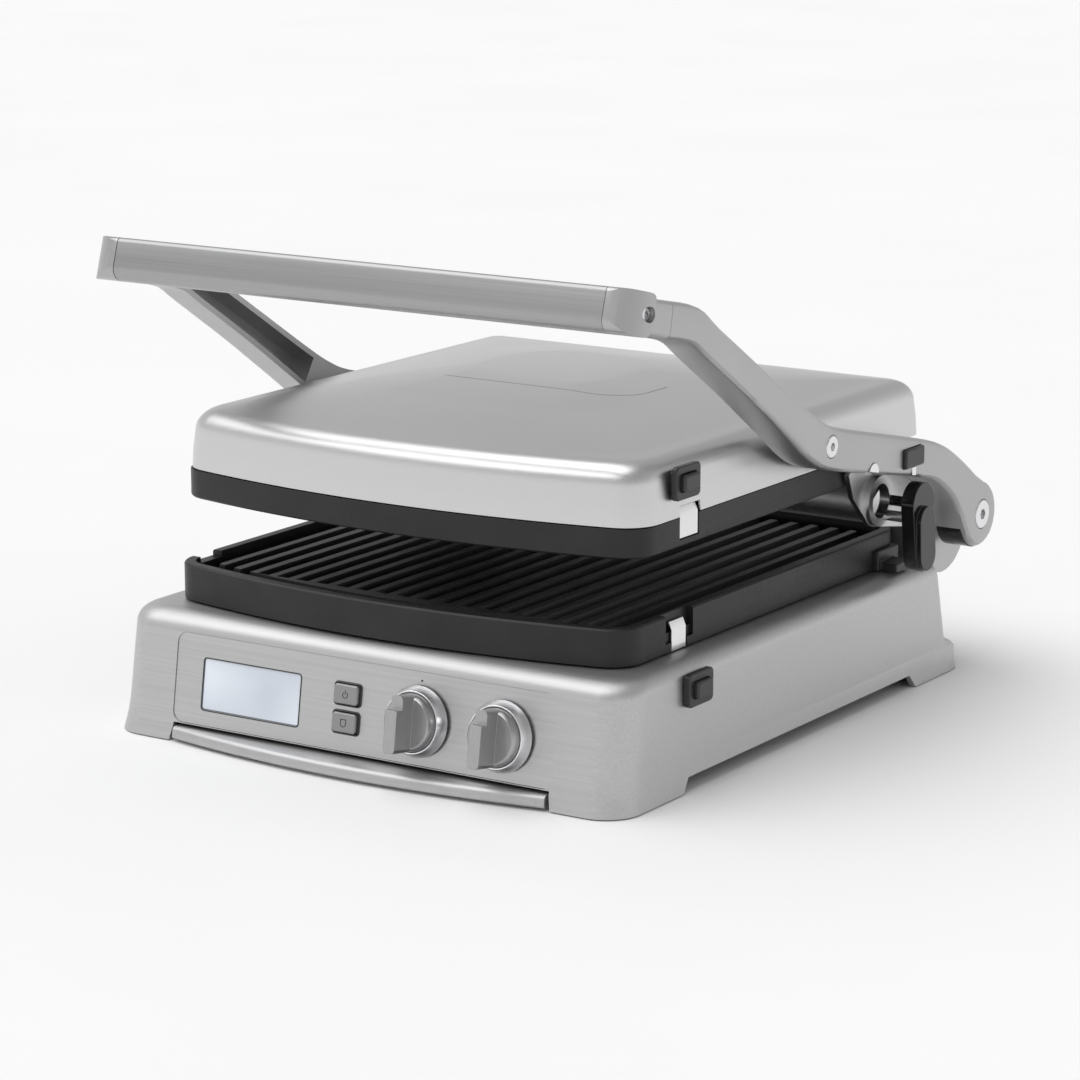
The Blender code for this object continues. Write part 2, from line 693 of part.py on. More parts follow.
def rotary_switches():
    """Switch body behind the panel, with a shaft that the knob turns on."""
    pieces = []
    near = PANEL_INSET + PANEL_THICKNESS + TOUCH_GAP
    for name, x in zip(("rotary_switch_left", "rotary_switch_right"), KNOB_X):
        body = prism(name, rounded(x - 0.0075, KNOB_UP - 0.0075, x + 0.0075, KNOB_UP + 0.0075, 0.001, 2),
                     "Y", near, near + BOARD_DEEP - 0.001, steel("switch_steel"))
        shaft = prism("shaft", circle((x, KNOB_UP), KNOB_SHAFT_R, 20), "Y",
                      -KNOB_SHAFT_END, near + 0.002, None)
        pin = prism("pin", circle((x, KNOB_UP), 0.0040, 12), "Y",
                    near + 0.005, near + BOARD_DEEP + 0.004, None)
        join(body, shaft, pin)
        pieces.append(body)
    return on_panel(*pieces)


KNOB_BACK = -0.0012           # rear face of a knob in front of the panel's face
KNOB_SHAFT_END = 0.0085


def knobs():
    pieces = []
    for side, x in zip(("left", "right"), KNOB_X):
        rim = KNOB_BACK - KNOB_RING_HEIGHT
        face = KNOB_BACK - KNOB_HEIGHT
        bar_face = KNOB_BACK - KNOB_BAR_REACH
        profile = [(0.0, KNOB_BACK), (KNOB_R, KNOB_BACK), (KNOB_R, rim),
                   (KNOB_FACE_R + 0.0008, face + 0.0008),
                   (KNOB_FACE_R, face), (0.0, face)]
        body = turned("knob_" + side, profile, (x, KNOB_UP), "Y", silver_paint("knob_paint"), steps=40)
        sections = []
        for along, trim in ((rim - 0.0004, 0.0), (bar_face + 0.0010, 0.0002), (bar_face, 0.0010)):
            half = KNOB_BAR_WIDTH / 2.0 - trim
            reach = KNOB_R - 0.0003 - trim
            sections.append([(x + u, along, KNOB_UP + v)
                             for u, v in rounded(-half, -reach, half, reach, 0.0028 - trim, 4)])
        join(body, loft("bar", sections, None))
        cut(body,
            block("step", (x - KNOB_BAR_WIDTH, bar_face - CUT, KNOB_UP + KNOB_R - KNOB_NOTCH),
                  (x + KNOB_BAR_WIDTH, bar_face + KNOB_NOTCH_DEEP, KNOB_UP + KNOB_R + CUT), None),
            prism("bore", circle((x, KNOB_UP), KNOB_SHAFT_R + TOUCH_GAP, 20), "Y",
                  -KNOB_SHAFT_END - TOUCH_GAP, KNOB_BACK + CUT, None))
        shade_round(body)
        inner = KNOB_R + TOUCH_GAP
        ring = turned("knob_ring_" + side, [(inner, KNOB_BACK), (KNOB_RING_R, KNOB_BACK),
                                            (KNOB_RING_R - 0.0002, KNOB_BACK - 0.0014),
                                            (inner + 0.0008, rim), (inner, rim)],
                      (x, KNOB_UP), "Y", chrome("ring_chrome"), steps=48)
        pieces += [body, ring]
    return on_panel(*pieces)


def push_buttons():
    pieces = []
    for index, name in enumerate(("button_power", "button_select")):
        front = PANEL_INSET - BUTTON_PROUD
        pieces.append(loft(name, [
            [(u, front + BUTTON_DEPTH, v) for u, v in button_outline(index)],
            [(u, front + 0.0007, v) for u, v in button_outline(index)],
            [(u, front, v) for u, v in button_outline(index, -0.0007)],
        ], material("button_grey", (0.30, 0.30, 0.31), 0.35, 0.3)))
    return on_panel(*pieces)


# ================================================================ plates
def plate_tub(inset, z, front, rear, half):
    radius = max(PLATE_CORNER_R - inset, 0.003)
    bow = PLATE_BOW * (half - PLATE_CORNER_R - inset * 0.0) / (half - PLATE_CORNER_R)
    return at_height(tub(half - inset, front + inset, rear - inset, radius, bow), z)


def grooves(count, low_z, high_z, front, rear):
    """Cutters between the ribs, which run front to back."""
    tools = []
    span = RIB_PITCH * (count - 1)
    for i in range(count + 1):
        x = -span / 2.0 - RIB_PITCH / 2.0 + RIB_PITCH * i
        half = (RIB_PITCH - RIB_WIDTH) / 2.0
        flare = 0.0012 if low_z < high_z else -0.0012
        low_half = half - 0.0012 if flare > 0 else half + 0.0012
        high_half = half + 0.0012 if flare > 0 else half - 0.0012
        outline = [(x - low_half, min(low_z, high_z)), (x + low_half, min(low_z, high_z)),
                   (x + high_half, max(low_z, high_z)), (x - high_half, max(low_z, high_z))]
        tools.append(prism("groove", outline, "Y", front, rear, None))
    return tools


def grill_plate(name, z, height, front, rear, facing, half):
    """Cast plate: rim, drain channel, ribs, and a hollow back for the heater."""
    back = z if facing > 0 else z + height
    rim = z + height if facing > 0 else z
    step = 1.0 if facing > 0 else -1.0
    deep = plate_hollow(height)
    rib_top = rim - step * RIB_BELOW_RIM
    channel = rib_top - step * (RIB_HEIGHT + 0.0010)
    args = (front, rear, half)
    loops = [
        plate_tub(PLATE_WALL + 0.0015, back + step * deep, *args),
        plate_tub(PLATE_WALL, back, *args),
        plate_tub(0.0, back, *args),
        plate_tub(0.0, rim - step * 0.0010, *args),
        plate_tub(0.0010, rim, *args),
        plate_tub(RIM_WIDTH, rim, *args),
        plate_tub(RIM_WIDTH + 0.0012, channel, *args),
        plate_tub(RIM_WIDTH + CHANNEL_WIDTH, channel, *args),
        plate_tub(RIM_WIDTH + CHANNEL_WIDTH + 0.0012, rib_top, *args),
    ]
    plate = loft(name, loops, plate_coating())
    groove_floor = rib_top - step * RIB_HEIGHT
    beyond = rib_top + step * 0.0030
    ends = RIM_WIDTH + 0.0030
    shell = grooves(RIB_COUNT, groove_floor, beyond,
                    front + ends + 0.004, rear - ends)
    cut(plate, *shell)
    return plate


def lower_plate():
    plate = grill_plate("lower_plate", PLATE_Z, LOWER_PLATE_HEIGHT, PLATE_FRONT_Y, PLATE_REAR_Y, 1,
                        PLATE_HALF_WIDTH)
    low_x = -PLATE_HALF_WIDTH
    spout = PLATE_FRONT_Y + 0.020
    notch = block("spout_notch", (low_x - CUT, spout, PLATE_TOP_Z - 0.0035),
                  (low_x + RIM_WIDTH + 0.002, spout + 0.020, PLATE_TOP_Z + CUT), None)
    sockets = []
    for side in (-1, 1):
        low, high = sorted((side * (LATCH_INNER_X - TOUCH_GAP), side * (PLATE_HALF_WIDTH + CUT)))
        sockets.append(block("socket", (low, LATCH_FRONT_Y - TOUCH_GAP, PLATE_Z - CUT),
                             (high, LATCH_FRONT_Y + LATCH_LENGTH + TOUCH_GAP, DECK_Z + LATCH_HEIGHT + TOUCH_GAP),
                             None))
    cut(plate, notch, clip_pocket(PLATE_HALF_WIDTH, LOWER_CLIP_Y, LOWER_CLIP_WIDTH + 0.0140,
                                  PLATE_Z + 0.0050, PLATE_TOP_Z, PLATE_Z + 0.0105),
        clip_pocket(PLATE_HALF_WIDTH, LOWER_CLIP_Y, LOWER_CLIP_WIDTH + 0.0012, PLATE_Z - CUT,
                    PLATE_Z + 0.0060, PLATE_Z + 0.0060), *sockets)
    return plate


def plate_latches():
    """Sprung catch at each side of the deck that holds the lower plate's rear."""
    top = DECK_Z + LATCH_HEIGHT
    low = DECK_Z + TOUCH_GAP
    rear = LATCH_FRONT_Y + LATCH_LENGTH
    body = block("plate_latch_right", (LATCH_INNER_X, LATCH_FRONT_Y, low),
                 (PLATE_HALF_WIDTH + 0.0030, rear, top), black_plastic("latch_plastic"))
    outer = BASE_WIDTH / 2.0 - 0.0062
    tab = [(LATCH_FRONT_Y + 0.0040, low), (LATCH_FRONT_Y + 0.0220, low),
           (LATCH_FRONT_Y + 0.0190, low + 0.0062), (LATCH_FRONT_Y + 0.0030, low + 0.0052)]
    join(body, prism("tab", tab, "X", PLATE_HALF_WIDTH + 0.0020, outer, None))
    return body, mirror_x(body, "plate_latch_left")


def upper_plate():
    plate = grill_plate("upper_plate", UPPER_Z, UPPER_PLATE_HEIGHT, UPPER_FRONT_Y, UPPER_REAR_Y, -1,
                        LID_HALF_WIDTH)
    cut(plate, clip_pocket(LID_HALF_WIDTH, UPPER_CLIP_Y, UPPER_CLIP_WIDTH + 0.0012, UPPER_Z + 0.0040,
                           UPPER_Z + UPPER_PLATE_HEIGHT + CUT, UPPER_Z + UPPER_PLATE_HEIGHT + CUT))
    return plate


def clip_pocket(half, y, wide, low, high, deep_from):
    """Cutter for the pocket in a plate's right side, deeper behind the clip's bend."""
    shallow = half - 0.0020
    deep = half - CLIP_POCKET
    outline = [(shallow, low), (half + CUT, low), (half + CUT, high + CUT)]
    if deep_from < high:
        outline += [(deep, high + CUT), (deep, deep_from)]
        outline += [(shallow, deep_from)]
    else:
        outline += [(shallow, high + CUT)]
    return prism("clip_pocket", outline, "Y", y - wide / 2.0, y + wide / 2.0, None)


def heater(name, z, front, rear, mat_name):
    """Bent tube element in two loops, its ends side by side at the rear."""
    outer = PAN_HALF_WIDTH - 0.0240
    inner = 0.0450
    bend = 0.0220
    path = [(0.0, rear - 0.006), (inner - bend, rear - 0.006)]
    path += arc((inner - bend, rear - 0.006 - bend), bend, 90, 0, 6)
    path += arc((inner + bend, front + 0.060), bend, 180, 270, 6)
    path += arc((outer - bend, front + 0.060), bend, 270, 360, 6)
    path += arc((outer - bend, rear - bend), bend, 0, 60, 4)
    left = [(-x, y) for x, y in reversed(path)]
    return tube(name, dedupe(left + path), z, HEATER_R, steel(mat_name))


def tube(name, path, z, radius, mat, sides=10):
    """Round rod along a flat path."""
    loops = []
    for i, point in enumerate(path):
        before = path[max(i - 1, 0)]
        after = path[min(i + 1, len(path) - 1)]
        along = Vector((after[0] - before[0], after[1] - before[1])).normalized()
        loops.append([(point[0] - along.y * radius * math.cos(turn),
                       point[1] + along.x * radius * math.cos(turn), z + radius * math.sin(turn))
                      for turn in (2.0 * math.pi * k / sides for k in range(sides))])
    return loft(name, loops, mat, smooth=True)


def plate_hollow(height):
    """Depth of the hollow in a plate's back."""
    return height - RIB_BELOW_RIM - RIB_HEIGHT - PLATE_FLOOR


def dedupe(points):
    kept = [points[0]]
    for point in points[1:]:
        if math.dist(point, kept[-1]) > 0.0005:
            kept.append(point)
    return kept


def heat_shield(name, z, front, rear, facing):
    """Pressed pan: a flange under the plate and a well behind the heater."""
    half = PAN_HALF_WIDTH
    s = facing

    def ring(grow, height):
        return at_height(rounded(-half - grow, front - grow, half + grow, rear + grow, 0.012 + grow), height)

    loops = [
        ring(-PAN_SHEET, z - s * (PAN_DEEP - PAN_SHEET)),
        ring(-PAN_SHEET, z),
        ring(PAN_FLANGE, z),
        ring(PAN_FLANGE, z - s * PAN_SHEET),
        ring(0.0, z - s * PAN_SHEET),
        ring(0.0, z - s * PAN_DEEP),
    ]
    return loft(name, loops, steel("pan_steel"))


# ================================================================ releases
LOWER_RELEASE_Y = PLATE_FRONT_Y + RELEASE_FROM_FRONT
LOWER_RELEASE_Z = 0.0583
LOWER_RELEASE_X = BASE_WIDTH / 2.0 - FOOT_FLARE - SIDE_LEAN * LOWER_RELEASE_Z
UPPER_RELEASE_Y = UPPER_FRONT_Y + RELEASE_FROM_FRONT
UPPER_RELEASE_Z = RIM_Z + 0.0200
UPPER_RELEASE_X = LID_HALF_WIDTH
BEZEL_PROUD = 0.0045
BEZEL_DEEP = 0.0070
RELEASE_TRAVEL = 0.0020
HEATER_R = 0.0032
LOWER_CLIP_Y = PLATE_FRONT_Y + LOWER_CLIP_FROM_FRONT
UPPER_CLIP_Y = UPPER_FRONT_Y + UPPER_CLIP_FROM_FRONT
LATCH_INNER_X = PLATE_HALF_WIDTH - 0.0032
LATCH_FRONT_Y = PLATE_REAR_Y - LATCH_AHEAD


def release_cutters(y, z, x, deep):
    half_w = RELEASE_WIDTH / 2.0 - 0.0030 + TOUCH_GAP
    half_h = RELEASE_HEIGHT / 2.0 - 0.0030 + TOUCH_GAP
    return [prism("opening", rounded(y - half_w, z - half_h, y + half_w, z + half_h, 0.002, 3), "X",
                  x - deep, x + CUT, None)]


def release(prefix, y, z, x):
    """Bezel that snaps into the wall, and the button that slides in it."""
    flange_w = RELEASE_WIDTH / 2.0
    flange_h = RELEASE_HEIGHT / 2.0
    face = x + BEZEL_PROUD
    seat = x + 0.0010
    bezel = loft(prefix + "_release_bezel", [
        [(seat, y + u, z + v) for u, v in rounded(-flange_w, -flange_h, flange_w, flange_h, 0.003, 4)],
        [(face - 0.0005, y + u, z + v)
         for u, v in rounded(-flange_w, -flange_h, flange_w, flange_h, 0.003, 4)],
        [(face, y + u, z + v) for u, v in
         rounded(-flange_w + 0.0006, -flange_h + 0.0006, flange_w - 0.0006, flange_h - 0.0006, 0.0026, 4)],
    ], black_plastic("bezel_plastic"))
    neck = prism("neck", rounded(y - flange_w + 0.0032, z - flange_h + 0.0032, y + flange_w - 0.0032,
                                 z + flange_h - 0.0032, 0.0018, 3), "X", x - BEZEL_DEEP, face - 0.0003, None)
    join(bezel, neck)
    half_w = RELEASE_BUTTON_WIDTH / 2.0
    half_h = RELEASE_BUTTON_HEIGHT / 2.0
    cut(bezel, prism("well", rounded(y - half_w - RUN_GAP, z - half_h - RUN_GAP, y + half_w + RUN_GAP,
                                     z + half_h + RUN_GAP, 0.0016, 3), "X", x - BEZEL_DEEP - CUT, face + CUT, None))
    button = loft(prefix + "_release_button", [
        [(x - BEZEL_DEEP + RELEASE_TRAVEL, y + u, z + v)
         for u, v in rounded(-half_w, -half_h, half_w, half_h, 0.0014, 3)],
        [(face + RELEASE_BUTTON_PROUD - 0.0008, y + u, z + v)
         for u, v in rounded(-half_w, -half_h, half_w, half_h, 0.0014, 3)],
        [(face + RELEASE_BUTTON_PROUD, y + u, z + v) for u, v in
         rounded(-half_w + 0.0010, -half_h + 0.0010, half_w - 0.0010, half_h - 0.0010, 0.0010, 3)],
    ], black_plastic("release_plastic"))
    return bezel, button


def clip(name, half, y, wide, low, high):
    """Sprung steel strip beside a plate, its top bent inwards."""
    outer = half - 0.0004
    inner = outer - CLIP_THICKNESS
    bend = high - CLIP_BEND
    outline = [(inner, low), (outer, low), (outer, bend), (outer - CLIP_LEAN, high),
               (inner - CLIP_LEAN, high), (inner, bend - 0.0004)]
    return prism(name, outline, "Y", y - wide / 2.0, y + wide / 2.0, steel("clip_steel"))


# ================================================================ hinge
def hinge_posts():
    """Round hinge housings that stand on the rear of the deck."""
    low = DECK_Z + TOUCH_GAP
    deck_rear = REAR_Y - REAR_LEAN * DECK_Z - SHOULDER
    wall_rear = REAR_Y - REAR_LEAN * WALL_TOP_Z
    centre = (HINGE_Y + POST_SHIFT, HINGE_Z - POST_DROP)
    outline = [(PLATE_REAR_Y + 0.0040, low), (deck_rear, low), (wall_rear - 0.0002, WALL_TOP_Z + 0.0004),
               (wall_rear + 0.0010, WALL_TOP_Z - 0.0030)]
    outline += arc(centre, POST_R, -134, 128, 26)
    outline += [(PLATE_REAR_Y + 0.0040, low + 0.0200)]
    x0 = POST_INNER_X
    x1 = POST_INNER_X + POST_THICKNESS
    post = prism("hinge_post_right", outline, "X", x0, x1, silver_paint("post_paint"))
    cut(post, prism("bore", circle((HINGE_Y, HINGE_Z), AXLE_R + RUN_GAP, 28), "X", x0 - CUT, x1 + CUT, None))
    left = mirror_x(post, "hinge_post_left")
    return post, left


def bracket_outline():
    """Side view of a hinge bracket: an eye on the axle and a round lobe ahead."""
    outline = [(HINGE_Y - 0.1311, HINGE_Z + 0.0440), (HINGE_Y - 0.1251, HINGE_Z + 0.0290)]
    outline += arc((LOBE_Y, LOBE_Z), LOBE_R, 224, 260, 8)
    outline += [(HINGE_Y, HINGE_Z - 0.0103)]
    outline += arc((HINGE_Y, HINGE_Z), EYE_R, -40, 90, 16)
    outline += [(HINGE_Y - 0.0350, HINGE_Z + 0.0290), (HINGE_Y - 0.0780, HINGE_Z + 0.0455),
                (HINGE_Y - 0.1200, HINGE_Z + 0.0530)]
    return outline


def hinge_brackets():
    x0 = BRACKET_INNER_X
    x1 = BRACKET_OUTER_X
    plate = prism("hinge_bracket_right", bracket_outline(), "X", x0, x1, steel("bracket_steel"))
    boss = prism("boss", circle((LOBE_Y, LOBE_Z), LOBE_R - 0.0002, 32), "X",
                 x0 + 0.0004, x1 + LOBE_BOSS, None)
    join(plate, boss)
    cut(plate,
        prism("window", circle((LOBE_Y, LOBE_Z), LOBE_BORE_R, 28), "X", x0 - CUT, x1 + LOBE_BOSS + CUT, None),
        prism("axle_hole", circle((HINGE_Y, HINGE_Z), AXLE_R + TOUCH_GAP, 28), "X", x0 - CUT, x1 + CUT, None))
    left = mirror_x(plate, "hinge_bracket_left")
    rod = prism("rod", circle((HINGE_Y - ROD_AHEAD, HINGE_Z + ROD_RISE), ROD_R, 20), "X",
                x0 + 0.0006, LEVER_INNER_X - 0.0010, None)
    join(plate, rod)
    cut(plate, prism("shaft_hole", circle((LEVER_Y, LEVER_Z), LEVER_SHAFT_R + RUN_GAP, 20), "X",
                     x0 - CUT, x1 + LOBE_BOSS + CUT, None))
    return plate, left


def hinge_barrel():
    """Hollow round cover between the posts."""
    half = POST_INNER_X - 0.0010
    inner = AXLE_R + TOUCH_GAP
    wall = BARREL_WALL
    profile = [(inner, -half), (BARREL_R - 0.0012, -half), (BARREL_R, -half + 0.0012),
               (BARREL_R, half - 0.0012),
               (BARREL_R - 0.0012, half), (inner, half), (inner, half - wall), (BARREL_R - wall, half - wall),
               (BARREL_R - wall, -half + wall), (inner, -half + wall)]
    return turned("hinge_barrel", profile, (HINGE_Y, HINGE_Z), "X", steel("barrel_steel"), steps=48)


def main_axle():
    half = ARM_OUTER_X - 0.0062
    profile = [(0.0, -half), (AXLE_R, -half), (AXLE_R, half), (0.0, half)]
    return turned("main_axle", profile, (HINGE_Y, HINGE_Z), "X", steel("axle_steel"), steps=28)


def height_lever():
    """Lever that hangs beside the right bracket, with its shaft in the bracket."""
    x0 = LEVER_INNER_X
    x1 = LEVER_INNER_X + LEVER_THICKNESS
    toe = (LEVER_Y + LEVER_TOE_AHEAD * 0.4, LEVER_Z - LEVER_LENGTH + 0.0105)
    outline = arc((LEVER_Y, LEVER_Z), LEVER_HUB_R, -10, 190, 18)
    outline += arc(toe, 0.0105, 185, 355, 14)
    lever = prism("height_lever", outline, "X", x0, x1 - 0.003, black_plastic("lever_plastic"))
    grip = prism("grip", arc(toe, 0.0096, 180, 360, 12)
                 + arc((LEVER_Y, LEVER_Z - 0.010), 0.0092, 0, 180, 10), "X", x1 - 0.005, x1, None)
    shaft = prism("shaft", circle((LEVER_Y, LEVER_Z), LEVER_SHAFT_R, 20), "X",
                  BRACKET_INNER_X - 0.0008, x0 + 0.002, None)
    join(lever, grip, shaft)
    shade_round(lever)
    return lever


# ================================================================ handle
def arm_stations():
    """Centre line of an arm and its half height, measured from the hinge axis."""
    return [
        (BAR_AHEAD - CAP_REACH, 0.1715, 0.0103),
        (0.3430, 0.1648, 0.0102),
        (0.3220, 0.1515, 0.0098),
        (0.2750, 0.1222, 0.0102),
        (0.2310, 0.0940, 0.0113),
        (0.2080, 0.0800, 0.0124),
        (0.1860, 0.0715, 0.0125),
        (0.1350, 0.0602, 0.0120),
        (0.0780, 0.0480, 0.0114),
        (0.0520, 0.0400, 0.0112),
        (0.0290, 0.0262, 0.0123),
        (0.0120, 0.0110, 0.0160),
        (0.0000, 0.0000, ARM_BOSS_R),
    ]


def smooth_path(points, steps):
    """Catmull-Rom curve through points of any dimension."""
    padded = [points[0]] + list(points) + [points[-1]]
    path = []
    for i in range(1, len(padded) - 2):
        p0, p1, p2, p3 = padded[i - 1:i + 3]
        for k in range(steps):
            t = k / steps
            path.append(tuple(
                0.5 * (2 * b + (c - a) * t + (2 * a - 5 * b + 4 * c - d) * t * t
                       + (3 * b - a - 3 * c + d) * t * t * t)
                for a, b, c, d in zip(p0, p1, p2, p3)))
    path.append(tuple(points[-1]))
    return path


def strip(path, trim):
    """Outline of a band round a path of (ahead, rise, half height), in (y, z)."""
    upper = []
    lower = []
    for i, (ahead, rise, half) in enumerate(path):
        before = path[max(i - 1, 0)]
        after = path[min(i + 1, len(path) - 1)]
        along = Vector((-(after[0] - before[0]), after[1] - before[1])).normalized()
        normal = Vector((-along.y, along.x))
        centre = Vector((HINGE_Y - ahead, HINGE_Z + rise))
        upper.append(tuple(centre + normal * (half - trim)))
        lower.append(tuple(centre - normal * (half - trim)))
    return lower, upper


def arm_outline(trim=0.0):
    """Side view of an arm, with a round boss on the hinge axis."""
    path = smooth_path(arm_stations(), 4)
    lower, upper = strip(path[:-5], trim)
    end = arc((HINGE_Y, HINGE_Z), ARM_BOSS_R - trim, -150.0, 75.0, 18)
    return lower + end + upper[::-1]


def arm_edge():
    """(x, trim) pairs round an arm's outer edge."""
    pairs = [(ARM_INNER_X, 0.0)]
    for turn in (0, 30, 60, 90):
        angle = math.radians(turn)
        pairs.append((ARM_OUTER_X - ARM_EDGE_R * (1.0 - math.sin(angle)),
                      ARM_EDGE_R * (1.0 - math.cos(angle))))
    return pairs


def arm_pocket(first, last):
    """Hollow on the inner side of an arm, between two places on its path."""
    path = smooth_path(arm_stations(), 4)
    lower, upper = strip(path[first:last], ARM_RIM)
    return prism("pocket", lower + upper[::-1], "X", ARM_INNER_X - CUT, ARM_OUTER_X - ARM_WEB, None)


def stepped_hole(centre, radius, head_radius, head_deep):
    """Cutter through an arm with a wider seat for a screw head."""
    seat = ARM_OUTER_X - head_deep
    profile = [(0.0, ARM_INNER_X - CUT), (radius, ARM_INNER_X - CUT), (radius, seat), (head_radius, seat),
               (head_radius, ARM_OUTER_X + CUT), (0.0, ARM_OUTER_X + CUT)]
    return turned("hole", profile, centre, "X", None, steps=28)


def handle_arms():
    loops = [[(x, y, z) for y, z in arm_outline(trim)] for x, trim in arm_edge()]
    arm = loft("handle_arm_right", loops, silver_paint("arm_paint"))
    cut(arm, arm_pocket(1, 18), arm_pocket(26, 40))
    cut(arm,
        stepped_hole((LID_PIVOT_Y, LID_PIVOT_Z), PIN_R + TOUCH_GAP, PIN_HEAD_R + TOUCH_GAP,
                     PIN_HEAD_DEEP + TOUCH_GAP),
        stepped_hole((HINGE_Y, HINGE_Z), AXLE_R + RUN_GAP, AXLE_HEAD_R + TOUCH_GAP,
                     AXLE_HEAD_DEEP + TOUCH_GAP),
        prism("stop", stop_outline(TOUCH_GAP), "X", STOP_INNER_X - TOUCH_GAP, ARM_OUTER_X + CUT, None))
    left = mirror_x(arm, "handle_arm_left")
    wide = BLOCK_WIDTH / 2.0 + RUN_GAP
    tall = BLOCK_HEIGHT / 2.0 + RUN_GAP
    cut(arm, prism("block_well", rounded(BLOCK_Y - wide, BLOCK_Z - tall, BLOCK_Y + wide, BLOCK_Z + tall, 0.0014, 3),
                   "X", ARM_OUTER_X - ARM_WEB - CUT, ARM_OUTER_X + CUT, None))
    return arm, left


PIN_HEAD_R = 0.0066
PIN_HEAD_DEEP = 0.0022
AXLE_HEAD_R = 0.0090
AXLE_HEAD_DEEP = 0.0050
STOP_Y = HINGE_Y - 0.1426
STOP_Z = HINGE_Z + 0.0508
STOP_R = 0.0055
STOP_TILT = -12.0             # slope of the arm's lower edge there, in degrees
STOP_INNER_X = ARM_OUTER_X - 0.0040
BLOCK_Y = HINGE_Y - 0.0946
BLOCK_Z = HINGE_Z + 0.0518
BLOCK_WIDTH = 0.0230
BLOCK_HEIGHT = 0.0116


def stop_outline(grow=0.0):
    """Half-round stop whose flat lies along the arm's lower edge."""
    half = arc((STOP_Y, STOP_Z), STOP_R + grow, STOP_TILT, 180.0 + STOP_TILT, 14)
    if grow > 0.0:
        sine = math.sin(math.radians(STOP_TILT)) * CUT
        cosine = math.cos(math.radians(STOP_TILT)) * CUT
        half += [(half[-1][0] + sine, half[-1][1] - cosine), (half[0][0] + sine, half[0][1] - cosine)]
    return half


def socket_head(name, centre, radius, inner_x, outer_x, socket_r, socket_deep, mat, stem=None):
    """Round screw head with a six-sided socket, and a stem if it has one."""
    bevel = 0.0006
    profile = [(0.0, inner_x), (radius, inner_x), (radius, outer_x - bevel),
               (radius - bevel, outer_x), (0.0, outer_x)]
    if stem is not None:
        stem_r, stem_x = stem
        profile = [(0.0, stem_x), (stem_r, stem_x), (stem_r, inner_x)] + profile[1:]
    head = turned(name, profile, centre, "X", mat, steps=28)
    cut(head, prism("socket", circle(centre, socket_r, 6), "X", outer_x - socket_deep, outer_x + CUT, None))
    shade_round(head)
    return head


def handle_fasteners():
    """Hinge screws, lid pivot pins, bar screws and stop pins, both sides."""
    pieces = []
    proud = 0.0006
    hinge = socket_head("hinge_screw_right", (HINGE_Y, HINGE_Z), AXLE_HEAD_R, ARM_OUTER_X - AXLE_HEAD_DEEP,
                        ARM_OUTER_X + proud, 0.0034, 0.0035, chrome("screw_chrome"))
    pin = socket_head("lid_pivot_pin_right", (LID_PIVOT_Y, LID_PIVOT_Z), PIN_HEAD_R,
                      ARM_OUTER_X - PIN_HEAD_DEEP,
                      ARM_OUTER_X + proud, 0.0026, 0.0020, chrome("screw_chrome"),
                      stem=(PIN_R, LID_HALF_WIDTH - 0.0150))
    bar = socket_head("bar_screw_right", (BAR_SCREW_Y, BAR_SCREW_Z), BAR_SCREW_R, ARM_OUTER_X - 0.0080,
                      ARM_OUTER_X - 0.0030, 0.0022, 0.0025, chrome("screw_chrome"))
    stop = prism("stop_pin_right", stop_outline(), "X", STOP_INNER_X, ARM_OUTER_X + proud,
                 chrome("screw_chrome"))
    for piece in (hinge, pin, bar, stop):
        pieces.append(piece)
        pieces.append(mirror_x(piece, piece.name.replace("right", "left")))
    return pieces


BAR_SCREW_Y = BAR_Y + 0.0050
BAR_SCREW_Z = BAR_Z - 0.0010
BAR_SCREW_R = 0.0040


def bar_outline(shrink=0.0):
    """Leaning rounded section of the crossbar, in (y, z)."""
    half_d = BAR_DEPTH / 2.0 - shrink
    half_h = BAR_HEIGHT / 2.0 - shrink
    points = (arc((half_d - 0.0040, half_h - 0.0040), 0.0040, 0, 90, 4)
              + arc((-half_d + 0.0030, half_h - 0.0030), 0.0030, 90, 180, 4)
              + arc((-half_d + 0.0075, -half_h + 0.0075), 0.0075, 180, 270, 6)
              + arc((half_d - 0.0060, -half_h + 0.0060), 0.0060, 270, 360, 5))
    cos_t = math.cos(BAR_TILT)
    sin_t = math.sin(BAR_TILT)
    return [(BAR_Y + u * cos_t + v * sin_t, BAR_Z - u * sin_t + v * cos_t) for u, v in points]


def crossbar():
    return prism("handle_bar", bar_outline(), "X", -BAR_HALF_LENGTH, BAR_HALF_LENGTH, silver_paint("bar_paint"),
                 smooth=True)


def cap_tongue(x0):
    """Part of the cap that lines up with the arm, its outer edges round."""
    sections = []
    for x, trim in arm_edge():
        lower, upper = strip(smooth_path(arm_stations(), 4)[:2], trim)
        slope = Vector((upper[1][0] - upper[0][0], upper[1][1] - upper[0][1])).normalized()
        near = slope * TOUCH_GAP
        far = slope * CAP_REACH
        sections.append([(max(x, x0), y, z) for y, z in (
            (lower[0][0] - far.x, lower[0][1] - far.y), (lower[0][0] - near.x, lower[0][1] - near.y),
            (upper[0][0] - near.x, upper[0][1] - near.y), (upper[0][0] - far.x, upper[0][1] - far.y))])
    return loft("tongue", sections, None)


